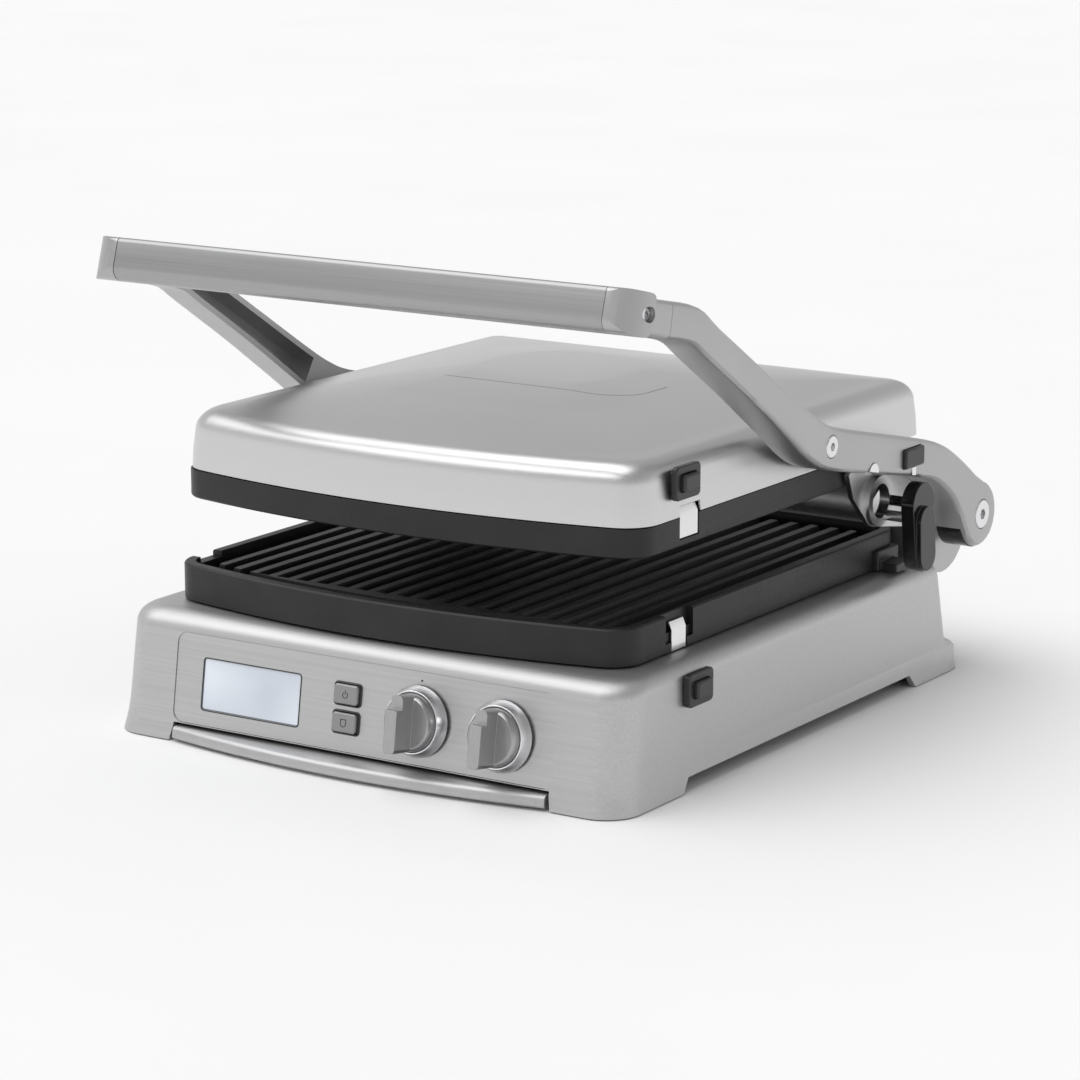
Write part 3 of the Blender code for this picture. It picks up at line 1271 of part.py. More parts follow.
def end_caps():
    """Corner piece that turns the crossbar into the arm."""
    x0 = BAR_HALF_LENGTH + TOUCH_GAP
    x1 = ARM_OUTER_X
    cap = prism("handle_cap_right", bar_outline(), "X", x0, x1, silver_paint("cap_paint"))
    join(cap, cap_tongue(x0))
    corner = arc((x1 - CAP_CORNER_R, -BAR_DEPTH / 2.0 + CAP_CORNER_R), CAP_CORNER_R, -90, 0, 10)
    front = -BAR_DEPTH / 2.0 - 0.010
    outside = [(x1 - CAP_CORNER_R, front)] + corner + [(x1 + CUT, corner[-1][1]), (x1 + CUT, front)]
    rounder = prism("corner", outside, "Z", -0.05, 0.05, None)
    rounder.data.transform(Matrix.Translation((0.0, BAR_Y, BAR_Z)) @ Matrix.Rotation(-BAR_TILT, 4, "X"))
    cut(cap, rounder)
    cut(cap, prism("screw_well", circle((BAR_SCREW_Y, BAR_SCREW_Z), BAR_SCREW_R + TOUCH_GAP, 24), "X",
                   x1 - 0.0080 - TOUCH_GAP, x1 + CUT, None))
    left = mirror_x(cap, "handle_cap_left")
    return cap, left


def release_block():
    """Black catch in the right arm, with its steel tongue behind the arm's web."""
    half_w = BLOCK_WIDTH / 2.0
    half_h = BLOCK_HEIGHT / 2.0
    outer = ARM_OUTER_X + 0.0026
    inner = ARM_OUTER_X - ARM_WEB - 0.0020
    catch = loft("hinge_catch", [
        [(inner, BLOCK_Y + u, BLOCK_Z + v) for u, v in rounded(-half_w, -half_h, half_w, half_h, 0.0014, 3)],
        [(outer - 0.0007, BLOCK_Y + u, BLOCK_Z + v)
         for u, v in rounded(-half_w, -half_h, half_w, half_h, 0.0014, 3)],
        [(outer, BLOCK_Y + u, BLOCK_Z + v) for u, v in
         rounded(-half_w + 0.0007, -half_h + 0.0007, half_w - 0.0007, half_h - 0.0007, 0.0010, 3)],
    ], black_plastic("catch_plastic"))
    tongue_x = inner - TOUCH_GAP
    tongue = block("catch_tongue", (tongue_x - 0.0015, BLOCK_Y - 0.0060, BLOCK_Z - 0.0034),
                   (tongue_x, BLOCK_Y + 0.0060, BLOCK_Z + 0.0034), steel("tongue_steel"))
    return catch, tongue


# ================================================================ lid
def lid_tub(inset, z):
    """Plan outline of the lid; corners grow rounder towards the crown."""
    half = LID_HALF_WIDTH + 0.0004 - inset
    front_r = lid_corner(inset, PLATE_CORNER_R + 0.002)
    rear_r = lid_corner(inset, LID_REAR_R)
    bow = PLATE_BOW * (1.0 - inset / LID_HALF_WIDTH)
    return at_height(tub(half, UPPER_FRONT_Y + inset, UPPER_REAR_Y + LID_REAR_REACH - inset,
                         front_r, bow, rear_r), z)


def lid_corner(inset, first):
    if inset < 0.0160:
        return max(first - 0.3 * inset, 0.0060)
    if inset < 0.0660:
        low = first - 0.0048
        return low + (0.0580 - low) * (inset - 0.0160) / 0.0500
    return max(0.0580 - 0.40 * (inset - 0.0660), 0.0300)


def crown(inset, start):
    """Height gained by the lid's top at a distance in from its side."""
    share = (inset - start) / (LID_HALF_WIDTH - start)
    return LID_CROWN * (1.0 - (1.0 - min(max(share, 0.0), 1.0)) ** 1.7)


def lid_profile():
    """(inset, height) pairs up the outside of the lid, from rim to crown."""
    rise = LID_SHOULDER_RISE
    shoulder_r = 0.0130
    pairs = [(0.0, 0.0), (0.0006, rise * 0.35), (0.0016, rise - shoulder_r)]
    for turn in (20, 40, 60, 80):
        angle = math.radians(turn)
        pairs.append((0.0016 + shoulder_r * (1 - math.cos(angle)), rise - shoulder_r * (1 - math.sin(angle))))
    start = pairs[-1][0]
    for inset in (0.028, 0.045, 0.066, 0.090, 0.115):
        pairs.append((inset, rise - 0.0002 + crown(inset, start)))
    return pairs


def lid_shell():
    """Pressed steel cover, open below."""
    outer = lid_profile()
    inner = [(inset + LID_WALL, height - (LID_WALL if i > 2 else 0.0))
             for i, (inset, height) in enumerate(outer)]
    loops = [lid_tub(inset, RIM_Z + height) for inset, height in reversed(inner)]
    loops += [lid_tub(inset, RIM_Z + height) for inset, height in outer]
    shell = loft("lid_shell", loops, steel("lid_steel"), smooth=True)
    holes = []
    for side in (-1, 1):
        low, high = sorted((side * (LID_HALF_WIDTH - 0.012), side * (LID_HALF_WIDTH + CUT)))
        holes.append(prism("pin_hole", circle((LID_PIVOT_Y, LID_PIVOT_Z), PIN_R + RUN_GAP, 20), "X",
                           low, high, None))
    cut(shell, *holes)
    cut(shell, upper_clip_notch())
    cut(shell, *release_cutters(UPPER_RELEASE_Y, UPPER_RELEASE_Z, UPPER_RELEASE_X, 0.012))
    shade_round(shell)
    return shell


def upper_clip_notch():
    """Cutter for the opening in the lid's side that the clip works in."""
    wide = UPPER_CLIP_WIDTH / 2.0 + 0.0015
    return block("clip_notch", (LID_HALF_WIDTH - 0.0064, UPPER_CLIP_Y - wide, RIM_Z - CUT),
                 (LID_HALF_WIDTH + CUT, UPPER_CLIP_Y + wide, RIM_Z + 0.0060), None)


def lid_frame():
    """Inner pan of the lid, with a bearing block for each pivot pin."""
    inset = LID_WALL + 0.0016
    low = RIM_Z + 0.0008
    pan = loft("lid_frame", [lid_tub(inset, low), lid_tub(inset, low + 0.0020)], black_plastic("frame_plastic"))
    opening = rounded(-PAN_HALF_WIDTH - PAN_GAP, PAN_FRONT_Y + LID_SHIFT - PAN_GAP, PAN_HALF_WIDTH + PAN_GAP,
                      PAN_REAR_Y + LID_SHIFT + PAN_GAP, 0.012)
    cut(pan, prism("pan_hole", opening, "Z", low - CUT, low + 0.0060, None), upper_clip_notch())
    blocks = []
    for side in (-1, 1):
        inner, outer = sorted((side * (PAN_HALF_WIDTH + 0.0030), side * (LID_HALF_WIDTH - 0.0065)))
        blocks.append(block("bearing", (inner, LID_PIVOT_Y - 0.014, low + 0.0010),
                            (outer, LID_PIVOT_Y + 0.014, LID_PIVOT_Z + 0.0062), None))
    join(pan, *blocks)
    for side in (-1, 1):
        inner, outer = sorted((side * (LID_HALF_WIDTH - 0.0160), side * (LID_HALF_WIDTH + CUT)))
        cut(pan, prism("pin_bore", circle((LID_PIVOT_Y, LID_PIVOT_Z), PIN_R + RUN_GAP, 20), "X",
                       inner, outer, None))
    return pan


def rear_bumper():
    """Small black stop on the rear of the lid, its top rounded."""
    y = UPPER_REAR_Y + LID_REAR_REACH + 0.0006
    x = LID_HALF_WIDTH - 0.0290
    top = RIM_Z + 0.0095
    outline = [(x - 0.0058, RIM_Z + 0.0050), (x + 0.0058, RIM_Z + 0.0050)]
    outline += arc((x, top), 0.0058, 0, 180, 12)
    return prism("lid_bumper", outline, "Y", y, y + 0.0040, rubber("bumper_rubber"))


def cord_gland():
    """Strain-relief sleeve in the rear wall, where the mains lead leaves."""
    y0 = REAR_Y - 0.0160
    profile = [(0.0040, y0), (GLAND_R, y0), (GLAND_R, REAR_Y - 0.0005), (GLAND_R + 0.0025, REAR_Y - 0.0005),
               (GLAND_R + 0.0025, REAR_Y + 0.0015), (GLAND_R - 0.0010, REAR_Y + 0.0140),
               (0.0040, REAR_Y + 0.0140)]
    return turned("cord_gland", profile, (GLAND_X, GLAND_Z), "Y", rubber("gland_rubber"), steps=24)


def main():
    clear_scene()
    base_housing()
    bottom_cover()
    rubber_feet()
    drip_tray()
    control_panel()
    lcd_pieces()
    control_board()
    rotary_switches()
    knobs()
    push_buttons()
    lower_plate()
    element_z = PLATE_Z + plate_hollow(LOWER_PLATE_HEIGHT) - TOUCH_GAP - HEATER_R
    heater("lower_heater", element_z, PAN_FRONT_Y + 0.010, PAN_REAR_Y - 0.006, "element_steel")
    heat_shield("lower_heat_shield", PLATE_Z - TOUCH_GAP, PAN_FRONT_Y, PAN_REAR_Y, 1)
    release("lower", LOWER_RELEASE_Y, LOWER_RELEASE_Z, LOWER_RELEASE_X)
    clip("lower_clip", PLATE_HALF_WIDTH, LOWER_CLIP_Y, LOWER_CLIP_WIDTH, DECK_Z + 0.0010, PLATE_Z + 0.0162)
    plate_latches()
    cord_gland()
    hinge_posts()
    brackets = hinge_brackets()
    barrel = hinge_barrel()
    axle = main_axle()
    lever = height_lever()
    arms = handle_arms()
    bar = crossbar()
    caps = end_caps()
    fasteners = handle_fasteners()
    catch = release_block()
    shell = lid_shell()
    frame = lid_frame()
    upper = upper_plate()
    element_z = UPPER_Z + UPPER_PLATE_HEIGHT - plate_hollow(UPPER_PLATE_HEIGHT) + TOUCH_GAP + HEATER_R
    upper_element = heater("upper_heater", element_z, PAN_FRONT_Y + LID_SHIFT + 0.010,
                           PAN_REAR_Y + LID_SHIFT - 0.006, "element_steel")
    shield = heat_shield("upper_heat_shield", UPPER_Z + UPPER_PLATE_HEIGHT + TOUCH_GAP,
                         PAN_FRONT_Y + LID_SHIFT, PAN_REAR_Y + LID_SHIFT, -1)
    upper_bezel, upper_button = release("upper", UPPER_RELEASE_Y, UPPER_RELEASE_Z, UPPER_RELEASE_X)
    upper_clip = clip("upper_clip", LID_HALF_WIDTH, UPPER_CLIP_Y, UPPER_CLIP_WIDTH, UPPER_Z + 0.0046,
                      RIM_Z + 0.0050)
    bumper = rear_bumper()

    hinge_axis = axis_empty("hinge_axis", (0.0, HINGE_Y, HINGE_Z))
    handle_axis = axis_empty("handle_axis", (0.0, HINGE_Y, HINGE_Z))
    lid_axis = axis_empty("lid_axis", (0.0, LID_PIVOT_Y, LID_PIVOT_Z))
    lever_axis = axis_empty("lever_axis", (0.0, LEVER_Y, LEVER_Z))
    hang_on(hinge_axis, handle_axis, lever_axis, barrel, axle, *brackets)
    hang_on(lever_axis, lever)
    hang_on(handle_axis, lid_axis, bar, *arms, *caps, *fasteners, *catch)
    hang_on(lid_axis, shell, frame, upper, upper_element, shield, upper_bezel, upper_button, upper_clip, bumper)


main()
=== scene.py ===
"""Looks of the contact grill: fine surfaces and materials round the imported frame.

Metres, +Z up. Places are read from the frame's boxes and the record's joints, and the sizes
of the detail round them are named values.
"""

import json
import math

import bmesh
import bpy
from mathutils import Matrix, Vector


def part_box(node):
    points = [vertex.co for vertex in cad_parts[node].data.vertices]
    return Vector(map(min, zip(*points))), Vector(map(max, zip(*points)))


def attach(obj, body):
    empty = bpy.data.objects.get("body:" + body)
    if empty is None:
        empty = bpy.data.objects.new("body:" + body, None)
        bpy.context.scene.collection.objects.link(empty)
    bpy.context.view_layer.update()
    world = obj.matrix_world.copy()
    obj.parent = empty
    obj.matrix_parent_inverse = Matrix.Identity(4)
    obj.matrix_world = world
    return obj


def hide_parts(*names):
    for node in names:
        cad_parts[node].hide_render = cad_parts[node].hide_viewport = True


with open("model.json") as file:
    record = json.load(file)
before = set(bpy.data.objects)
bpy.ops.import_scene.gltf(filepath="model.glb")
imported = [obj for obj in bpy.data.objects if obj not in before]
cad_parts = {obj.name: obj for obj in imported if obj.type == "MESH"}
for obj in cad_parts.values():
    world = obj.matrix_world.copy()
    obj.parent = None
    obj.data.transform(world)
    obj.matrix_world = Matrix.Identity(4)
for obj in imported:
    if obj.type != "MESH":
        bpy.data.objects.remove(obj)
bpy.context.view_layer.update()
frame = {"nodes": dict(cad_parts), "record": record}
BODIES = {node: body for body, nodes in frame["record"]["behaviour"]["bodies"].items() for node in nodes}
SLOTS = {part["node"]: part["material_slot"] for part in frame["record"]["subparts"]}
JOINTS = {joint["name"]: joint for joint in frame["record"]["behaviour"]["joints"]}

# ---------------------------------------------------------------- sizes
WELD = 2e-6                   # split corners this close become one
PAST = 0.004                  # how far a cutter runs past what it cuts
CAMERA_PLACE = (1.1900, -1.8389, 0.5915)
CAMERA_AZIMUTH = math.radians(33.14)
CAMERA_ELEVATION = math.radians(12.76)
CAMERA_LENS = 125.3
CAMERA_SENSOR = 36.0
SKY_POWER = 1.95
SKY_ANGLE = math.radians(70.0)
SKY_PLACE = (-0.35, -0.25, 1.0)
FLOOR_HALF = 30.0
LID_WALL = 0.0012
LID_CROWN = 0.0190
LID_BOW = 0.0155              # of the lid's front edge, at its middle
LID_SHOULDER_R = 0.0130
LID_SHOULDER = 0.0150         # where the crown starts, in from the rim
LID_LEAN = 0.0016             # inward run of the wall up to the shoulder
LID_RING_STEP = 0.0045
LID_LAST_RING = 0.1150
CREASE_BACK = 0.1085          # pressed line on the lid behind its front edge
CREASE_RIGHT = 0.0780
CREASE_WIDTH = 0.0940
CREASE_R = 0.0280
CREASE_BOW = 0.0060
FACE_BACK = 0.0006            # control panel's face behind the housing's front plane


# ================================================================ materials
class Nodes:
    """A material's node tree with short ways to add to it."""

    def __init__(self, name):
        self.mat = bpy.data.materials.new(name)
        self.mat.use_nodes = True
        self.tree = self.mat.node_tree
        self.shader = self.tree.nodes["Principled BSDF"]

    def add(self, kind, **inputs):
        node = self.tree.nodes.new(kind)
        for key, value in inputs.items():
            node.inputs[key.replace("_", " ")].default_value = value
        return node

    def link(self, source, target):
        self.tree.links.new(source, target)

    def place(self, stretch):
        """Object coordinates, stretched so that noise runs along one direction."""
        coords = self.add("ShaderNodeTexCoord")
        mapping = self.add("ShaderNodeMapping")
        mapping.inputs["Scale"].default_value = stretch
        self.link(coords.outputs["Object"], mapping.inputs["Vector"])
        return mapping.outputs["Vector"]

    def noise(self, vector, scale, detail=4.0):
        node = self.add("ShaderNodeTexNoise", Scale=scale, Detail=detail)
        self.link(vector, node.inputs["Vector"])
        return node.outputs["Fac"]

    def spread(self, source, low, high):
        """Map a 0..1 value onto low..high."""
        node = self.add("ShaderNodeMapRange")
        node.inputs["From Min"].default_value = 0.25
        node.inputs["From Max"].default_value = 0.75
        node.inputs["To Min"].default_value = low
        node.inputs["To Max"].default_value = high
        self.link(source, node.inputs["Value"])
        return node.outputs["Result"]

    def tint(self, source, dark, light):
        ramp = self.add("ShaderNodeValToRGB")
        ramp.color_ramp.elements[0].position = 0.3
        ramp.color_ramp.elements[1].position = 0.7
        ramp.color_ramp.elements[0].color = (*dark, 1.0)
        ramp.color_ramp.elements[1].color = (*light, 1.0)
        self.link(source, ramp.inputs["Fac"])
        self.link(ramp.outputs["Color"], self.shader.inputs["Base Color"])

    def bump(self, source, distance, strength=1.0):
        node = self.add("ShaderNodeBump", Strength=strength, Distance=distance)
        self.link(source, node.inputs["Height"])
        self.link(node.outputs["Normal"], self.shader.inputs["Normal"])

    def rough(self, source, low, high):
        self.link(self.spread(source, low, high), self.shader.inputs["Roughness"])


def brushed(name, shade, rough, along, metallic=1.0, grain=0.000012, contrast=0.06):
    """Metal brushed along one direction: fine streaks in colour, gloss and relief."""
    nodes = Nodes(name)
    vector = nodes.place(tuple(4.0 if direction else 900.0 for direction in along))
    streaks = nodes.noise(vector, 1.0, 6.0)
    cloud = nodes.noise(nodes.place((1.0, 1.0, 1.0)), 9.0, 2.0)
    nodes.tint(streaks, tuple(c * (1.0 - contrast) for c in shade),
               tuple(c * (1.0 + contrast) for c in shade))
    mixed = nodes.add("ShaderNodeMix")
    mixed.inputs["Factor"].default_value = 0.35
    nodes.link(streaks, mixed.inputs["A"])
    nodes.link(cloud, mixed.inputs["B"])
    nodes.rough(mixed.outputs["Result"], rough - 0.05, rough + 0.06)
    nodes.bump(streaks, grain)
    nodes.shader.inputs["Metallic"].default_value = metallic
    return nodes.mat


def satin(name, shade, rough, metallic=0.9):
    """Fine bead-blasted or painted metal: no direction, a very fine sparkle."""
    nodes = Nodes(name)
    vector = nodes.place((1.0, 1.0, 1.0))
    grain = nodes.noise(vector, 1500.0, 3.0)
    cloud = nodes.noise(vector, 14.0, 3.0)
    nodes.tint(cloud, tuple(c * 0.97 for c in shade), tuple(c * 1.03 for c in shade))
    nodes.rough(grain, rough - 0.04, rough + 0.05)
    nodes.bump(grain, 0.000010)
    nodes.shader.inputs["Metallic"].default_value = metallic
    return nodes.mat


def plated(name, shade, rough):
    """Bright plating, faintly smeared."""
    nodes = Nodes(name)
    smear = nodes.noise(nodes.place((1.0, 1.0, 1.0)), 60.0, 3.0)
    nodes.tint(smear, tuple(c * 0.96 for c in shade), shade)
    nodes.rough(smear, rough, rough + 0.08)
    nodes.shader.inputs["Metallic"].default_value = 1.0
    return nodes.mat


def moulded(name, shade, rough, grain=0.00002, scale=1800.0):
    """Moulded plastic or rubber with a spark-eroded grain."""
    nodes = Nodes(name)
    vector = nodes.place((1.0, 1.0, 1.0))
    texture = nodes.noise(vector, scale, 2.0)
    wear = nodes.noise(vector, 25.0, 4.0)
    nodes.tint(wear, tuple(c * 0.85 for c in shade), tuple(c * 1.15 for c in shade))
    nodes.rough(wear, rough - 0.05, rough + 0.07)
    nodes.bump(texture, grain)
    return nodes.mat


def cast_coating(name, shade, rough):
    """Non-stick coating on a casting: dark, softly mottled, with fine pits."""
    nodes = Nodes(name)
    vector = nodes.place((1.0, 1.0, 1.0))
    pits = nodes.noise(vector, 900.0, 5.0)
    mottle = nodes.noise(vector, 40.0, 4.0)
    nodes.tint(mottle, tuple(c * 0.8 for c in shade), tuple(c * 1.25 for c in shade))
    nodes.rough(pits, rough - 0.06, rough + 0.10)
    nodes.bump(pits, 0.00003)
    nodes.shader.inputs["Metallic"].default_value = 0.25
    return nodes.mat


def display(name):
    """Pale reflective display behind its window, in a patchy tone, with a faint painted glow."""
    nodes = Nodes(name)
    vector = nodes.place((1.0, 1.0, 1.0))
    wash = nodes.noise(vector, 18.0, 1.0)
    nodes.tint(wash, (0.52, 0.56, 0.62), (0.80, 0.84, 0.90))
    nodes.rough(nodes.noise(vector, 400.0), 0.10, 0.20)
    # painted glow: a faint emission makes the pane brighter than the light that falls on it
    nodes.shader.inputs["Emission Strength"].default_value = 0.12
    nodes.shader.inputs["Emission Color"].default_value = (0.75, 0.82, 0.92, 1.0)
    return nodes.mat


GREY = (0.54, 0.54, 0.545)
MATERIALS = {
    "base_paint": brushed("base_metal", GREY, 0.45, (1, 0, 0), 0.92),
    "panel_paint": brushed("panel_metal", (0.53, 0.53, 0.535), 0.38, (1, 0, 0), 0.95),
    "tray_paint": brushed("tray_metal", (0.50, 0.50, 0.505), 0.44, (1, 0, 0), 0.90),
    "lid_steel": brushed("lid_brushed", (0.64, 0.64, 0.645), 0.35, (1, 0, 0), 1.0, 0.0000015, 0.012),
    "post_paint": satin("post_metal", (0.48, 0.48, 0.485), 0.42),
    "arm_paint": satin("arm_metal", (0.45, 0.45, 0.455), 0.38),
    "bar_paint": brushed("bar_metal", (0.39, 0.39, 0.395), 0.38, (1, 0, 0)),
    "cap_paint": satin("cap_metal", (0.45, 0.45, 0.455), 0.36),
    "knob_paint": brushed("knob_metal", (0.42, 0.42, 0.425), 0.30, (0, 0, 1)),
    "button_grey": satin("button_metal", (0.30, 0.30, 0.305), 0.36, 0.7),
    "ring_chrome": plated("ring_plating", (0.86, 0.86, 0.87), 0.20),
    "screw_chrome": plated("screw_plating", (0.78, 0.78, 0.79), 0.12),
    "bracket_steel": satin("bracket_polished", (0.60, 0.60, 0.605), 0.30, 1.0),
    "barrel_steel": brushed("barrel_brushed", (0.55, 0.55, 0.555), 0.32, (1, 0, 0)),
    "axle_steel": plated("axle_ground", (0.60, 0.60, 0.61), 0.20),
    "clip_steel": plated("clip_spring", (0.78, 0.78, 0.78), 0.16),
    "tongue_steel": plated("tongue_spring", (0.70, 0.70, 0.70), 0.20),
    "switch_steel": plated("switch_zinc", (0.55, 0.55, 0.56), 0.35),
    "element_steel": satin("element_sheath", (0.30, 0.28, 0.27), 0.45),
    "pan_steel": plated("pan_aluminised", (0.62, 0.62, 0.62), 0.30),
    "plate_coating": cast_coating("plate_nonstick", (0.014, 0.014, 0.015), 0.42),
    "bezel_plastic": moulded("bezel_black", (0.020, 0.020, 0.021), 0.38),
    "release_plastic": moulded("release_black", (0.024, 0.024, 0.025), 0.34),
    "latch_plastic": moulded("latch_black", (0.022, 0.022, 0.023), 0.42),
    "catch_plastic": moulded("catch_black", (0.018, 0.018, 0.019), 0.36),
    "lever_plastic": moulded("lever_black", (0.008, 0.008, 0.009), 0.14, 0.000004),
    "cover_plastic": moulded("cover_black", (0.022, 0.022, 0.023), 0.50),
    "frame_plastic": moulded("frame_black", (0.013, 0.013, 0.014), 0.46),
    "foot_rubber": moulded("foot_black", (0.016, 0.016, 0.016), 0.80, 0.00004, 900.0),
    "bumper_rubber": moulded("bumper_black", (0.016, 0.016, 0.016), 0.70, 0.00004, 900.0),
    "gland_rubber": moulded("gland_black", (0.016, 0.016, 0.016), 0.65, 0.00004, 900.0),
    "board_green": moulded("board_mask", (0.02, 0.14, 0.06), 0.40),
    "crease": plated("crease_shadow", (0.30, 0.30, 0.305), 0.40),
    # both panes carry the display's painted glow
    "lcd_grey": display("display_pane"),
    "lens_glass": display("window_pane"),
}


# ================================================================ mesh tools
def new_object(name, verts, faces, mat, sharp=32.0):
    mesh = bpy.data.meshes.new(name)
    mesh.from_pydata(verts, [], faces)
    mesh.update()
    mesh.materials.append(mat)
    mesh.shade_smooth()
    mesh.set_sharp_from_angle(angle=math.radians(sharp))
    obj = bpy.data.objects.new(name, mesh)
    bpy.context.scene.collection.objects.link(obj)
    return obj


def from_bmesh(name, bm, mat, sharp=32.0):
    bmesh.ops.recalc_face_normals(bm, faces=bm.faces)
    bm.verts.index_update()
    verts = [tuple(v.co) for v in bm.verts]
    faces = [[v.index for v in face.verts] for face in bm.faces]
    bm.free()
    return new_object(name, verts, faces, mat, sharp)


def loft(name, loops, mat, sharp=32.0, caps=(True, True)):
    """Skin loops of equal length."""
    bm = bmesh.new()
    rings = [[bm.verts.new(point) for point in loop] for loop in loops]
    for low, high in zip(rings, rings[1:]):
        for i in range(len(low)):
            j = (i + 1) % len(low)
            bm.faces.new((low[i], low[j], high[j], high[i]))
    if caps[0]:
        bm.faces.new(rings[0][::-1])
    if caps[1]:
        bm.faces.new(rings[-1])
    return from_bmesh(name, bm, mat, sharp)


def soften(obj, width, segments=3, angle=30.0):
    """Round the edges of a piece."""
    bevel = obj.modifiers.new("edge", "BEVEL")
    bevel.width = width
    bevel.segments = segments
    bevel.limit_method = "ANGLE"
    bevel.angle_limit = math.radians(angle)
    bevel.use_clamp_overlap = True
    bevel.harden_normals = True
    return obj


def wear(piece, *nodes):
    """Put a piece in place of CAD nodes, on their body."""
    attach(piece, BODIES[nodes[0]])
    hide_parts(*nodes)
    return piece


def trim(piece, body):
    """A piece of detail that rides on a body and replaces nothing."""
    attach(piece, body)
    return piece


def welded(node):
    """The node's surface with its split corners joined and its flat faces whole."""
    bm = bmesh.new()
    bm.from_mesh(frame["nodes"][node].data)
    bmesh.ops.remove_doubles(bm, verts=bm.verts, dist=WELD)
    bmesh.ops.dissolve_limit(bm, angle_limit=math.radians(0.4), verts=bm.verts, edges=bm.edges)
    return bm


def refined(node, width, segments=3, sharp=32.0):
    """A finished copy of a CAD node: joined, smooth where round, edges broken."""
    piece = from_bmesh(node + "_skin", welded(node), MATERIALS[SLOTS[node]], sharp)
    if width:
        soften(piece, width, segments)
    return wear(piece, node)


def arc(centre, radius, start, end, steps):
    points = []
    for i in range(steps + 1):
        turn = math.radians(start + (end - start) * i / steps)
        points.append((centre[0] + radius * math.cos(turn), centre[1] + radius * math.sin(turn)))
    return points


# ================================================================ lid
def tub(half, front, rear, front_r, rear_r, bow, steps=10, front_steps=28):
    """Plan outline with round corners and a front edge bowed towards -Y."""
    points = arc((half - rear_r, rear - rear_r), rear_r, 0, 90, steps)
    points += arc((-half + rear_r, rear - rear_r), rear_r, 90, 180, steps)
    reach = half - front_r
    tilt = math.degrees(math.atan(2.0 * bow / reach))
    points += arc((-reach, front + front_r), front_r, 180, 270 - tilt, steps)
    first = points[-1]
    for i in range(1, front_steps):
        share = -1.0 + 2.0 * i / front_steps
        points.append((-first[0] * share, first[1] - bow * (1.0 - share * share)))
    points += arc((reach, front + front_r), front_r, -90 + tilt, 0, steps)
    return points


def lid_corner(inset, first):
    """Corner radius of a ring: tight on the wall, wide on the crown."""
    if inset < 0.0160:
        return max(first - 0.3 * inset, 0.0060)
    if inset < 0.0660:
        low = first - 0.0048
        return low + (0.0580 - low) * (inset - 0.0160) / 0.0500
    return max(0.0580 - 0.40 * (inset - 0.0660), 0.0300)


class Lid:
    """The cover's outside surface, from its rim to its crown."""

    def __init__(self):
        low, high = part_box("lid_shell")
        self.half = high.x
        self.rim = low.z
        self.rear = high.y
        self.front = low.y + LID_BOW + 0.0004
        self.top = high.z - low.z
        self.rise = self.top - LID_CROWN * 0.985

    def loop(self, inset, height):
        bow = LID_BOW * (1.0 - inset / self.half)
        outline = tub(self.half - inset, self.front + inset, self.rear - inset,
                      lid_corner(inset, 0.022), lid_corner(inset, 0.008), bow)
        return [(x, y, self.rim + height) for x, y in outline]

    def crown(self, inset):
        share = min(max((inset - LID_SHOULDER) / (self.half - LID_SHOULDER), 0.0), 1.0)
        return self.rise - 0.0002 + LID_CROWN * (1.0 - (1.0 - share) ** 1.7)

    def profile(self):
        """Pairs of inset and height, up the wall, round the shoulder and over the crown."""
        radius = LID_SHOULDER_R
        pairs = [(0.0, 0.0), (0.0, 0.0012), (0.0006, self.rise * 0.35), (LID_LEAN, self.rise - radius)]
        for turn in range(8, 88, 8):
            angle = math.radians(turn)
            pairs.append((LID_LEAN + radius * (1 - math.cos(angle)),
                          self.rise - radius * (1 - math.sin(angle))))
        inset = LID_SHOULDER + 0.0025
        while inset < LID_LAST_RING:
            pairs.append((inset, self.crown(inset)))
            inset += LID_RING_STEP
        return pairs


def lid_cover():
    """Cover with its wall, its notch for the clip and its window for the release."""
    lid = Lid()
    outer = lid.profile()
    inner = [(inset + LID_WALL, height - (LID_WALL if i > 3 else 0.0))
             for i, (inset, height) in enumerate(outer)]
    loops = [lid.loop(inset, height) for inset, height in reversed(inner)]
    loops += [lid.loop(inset, height) for inset, height in outer]
    cover = loft("lid_cover", loops, MATERIALS["lid_steel"], sharp=40.0)
    low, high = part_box("upper_clip")
    notch = cutter_block("notch_cutter", (lid.half - 0.006, low.y - 0.0015, lid.rim - PAST),
                         (lid.half + PAST, high.y + 0.0015, high.z + 0.0010))
    low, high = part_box("upper_release_bezel")
    window = cutter_block("window_cutter", (lid.half - 0.010, low.y + 0.0030, low.z + 0.0030),
                          (lid.half + PAST, high.y - 0.0030, high.z - 0.0030))
    carve(cover, notch, window)
    return wear(cover, "lid_shell")


def cutter_block(name, low, high):
    (x0, y0, z0), (x1, y1, z1) = low, high
    base = [(x0, y0), (x1, y0), (x1, y1), (x0, y1)]
    return loft(name, [[(x, y, z) for x, y in base] for z in (z0, z1)], MATERIALS["lid_steel"])


def carve(obj, *cutters):
    """Subtract the cutters, keep the result and drop them."""
    for tool in cutters:
        mod = obj.modifiers.new("carve", "BOOLEAN")
        mod.operation = "DIFFERENCE"
        mod.solver = "EXACT"
        mod.object = tool
    bpy.context.view_layer.update()
    mesh = bpy.data.meshes.new_from_object(obj.evaluated_get(bpy.context.evaluated_depsgraph_get()))
    mat = obj.data.materials[0]
    obj.modifiers.clear()
    mesh.materials.clear()
    mesh.materials.append(mat)
    for face in mesh.polygons:
        face.material_index = 0
    obj.data = mesh
    obj.data.set_sharp_from_angle(angle=math.radians(38.0))
    for tool in cutters:
        bpy.data.objects.remove(tool, do_unlink=True)


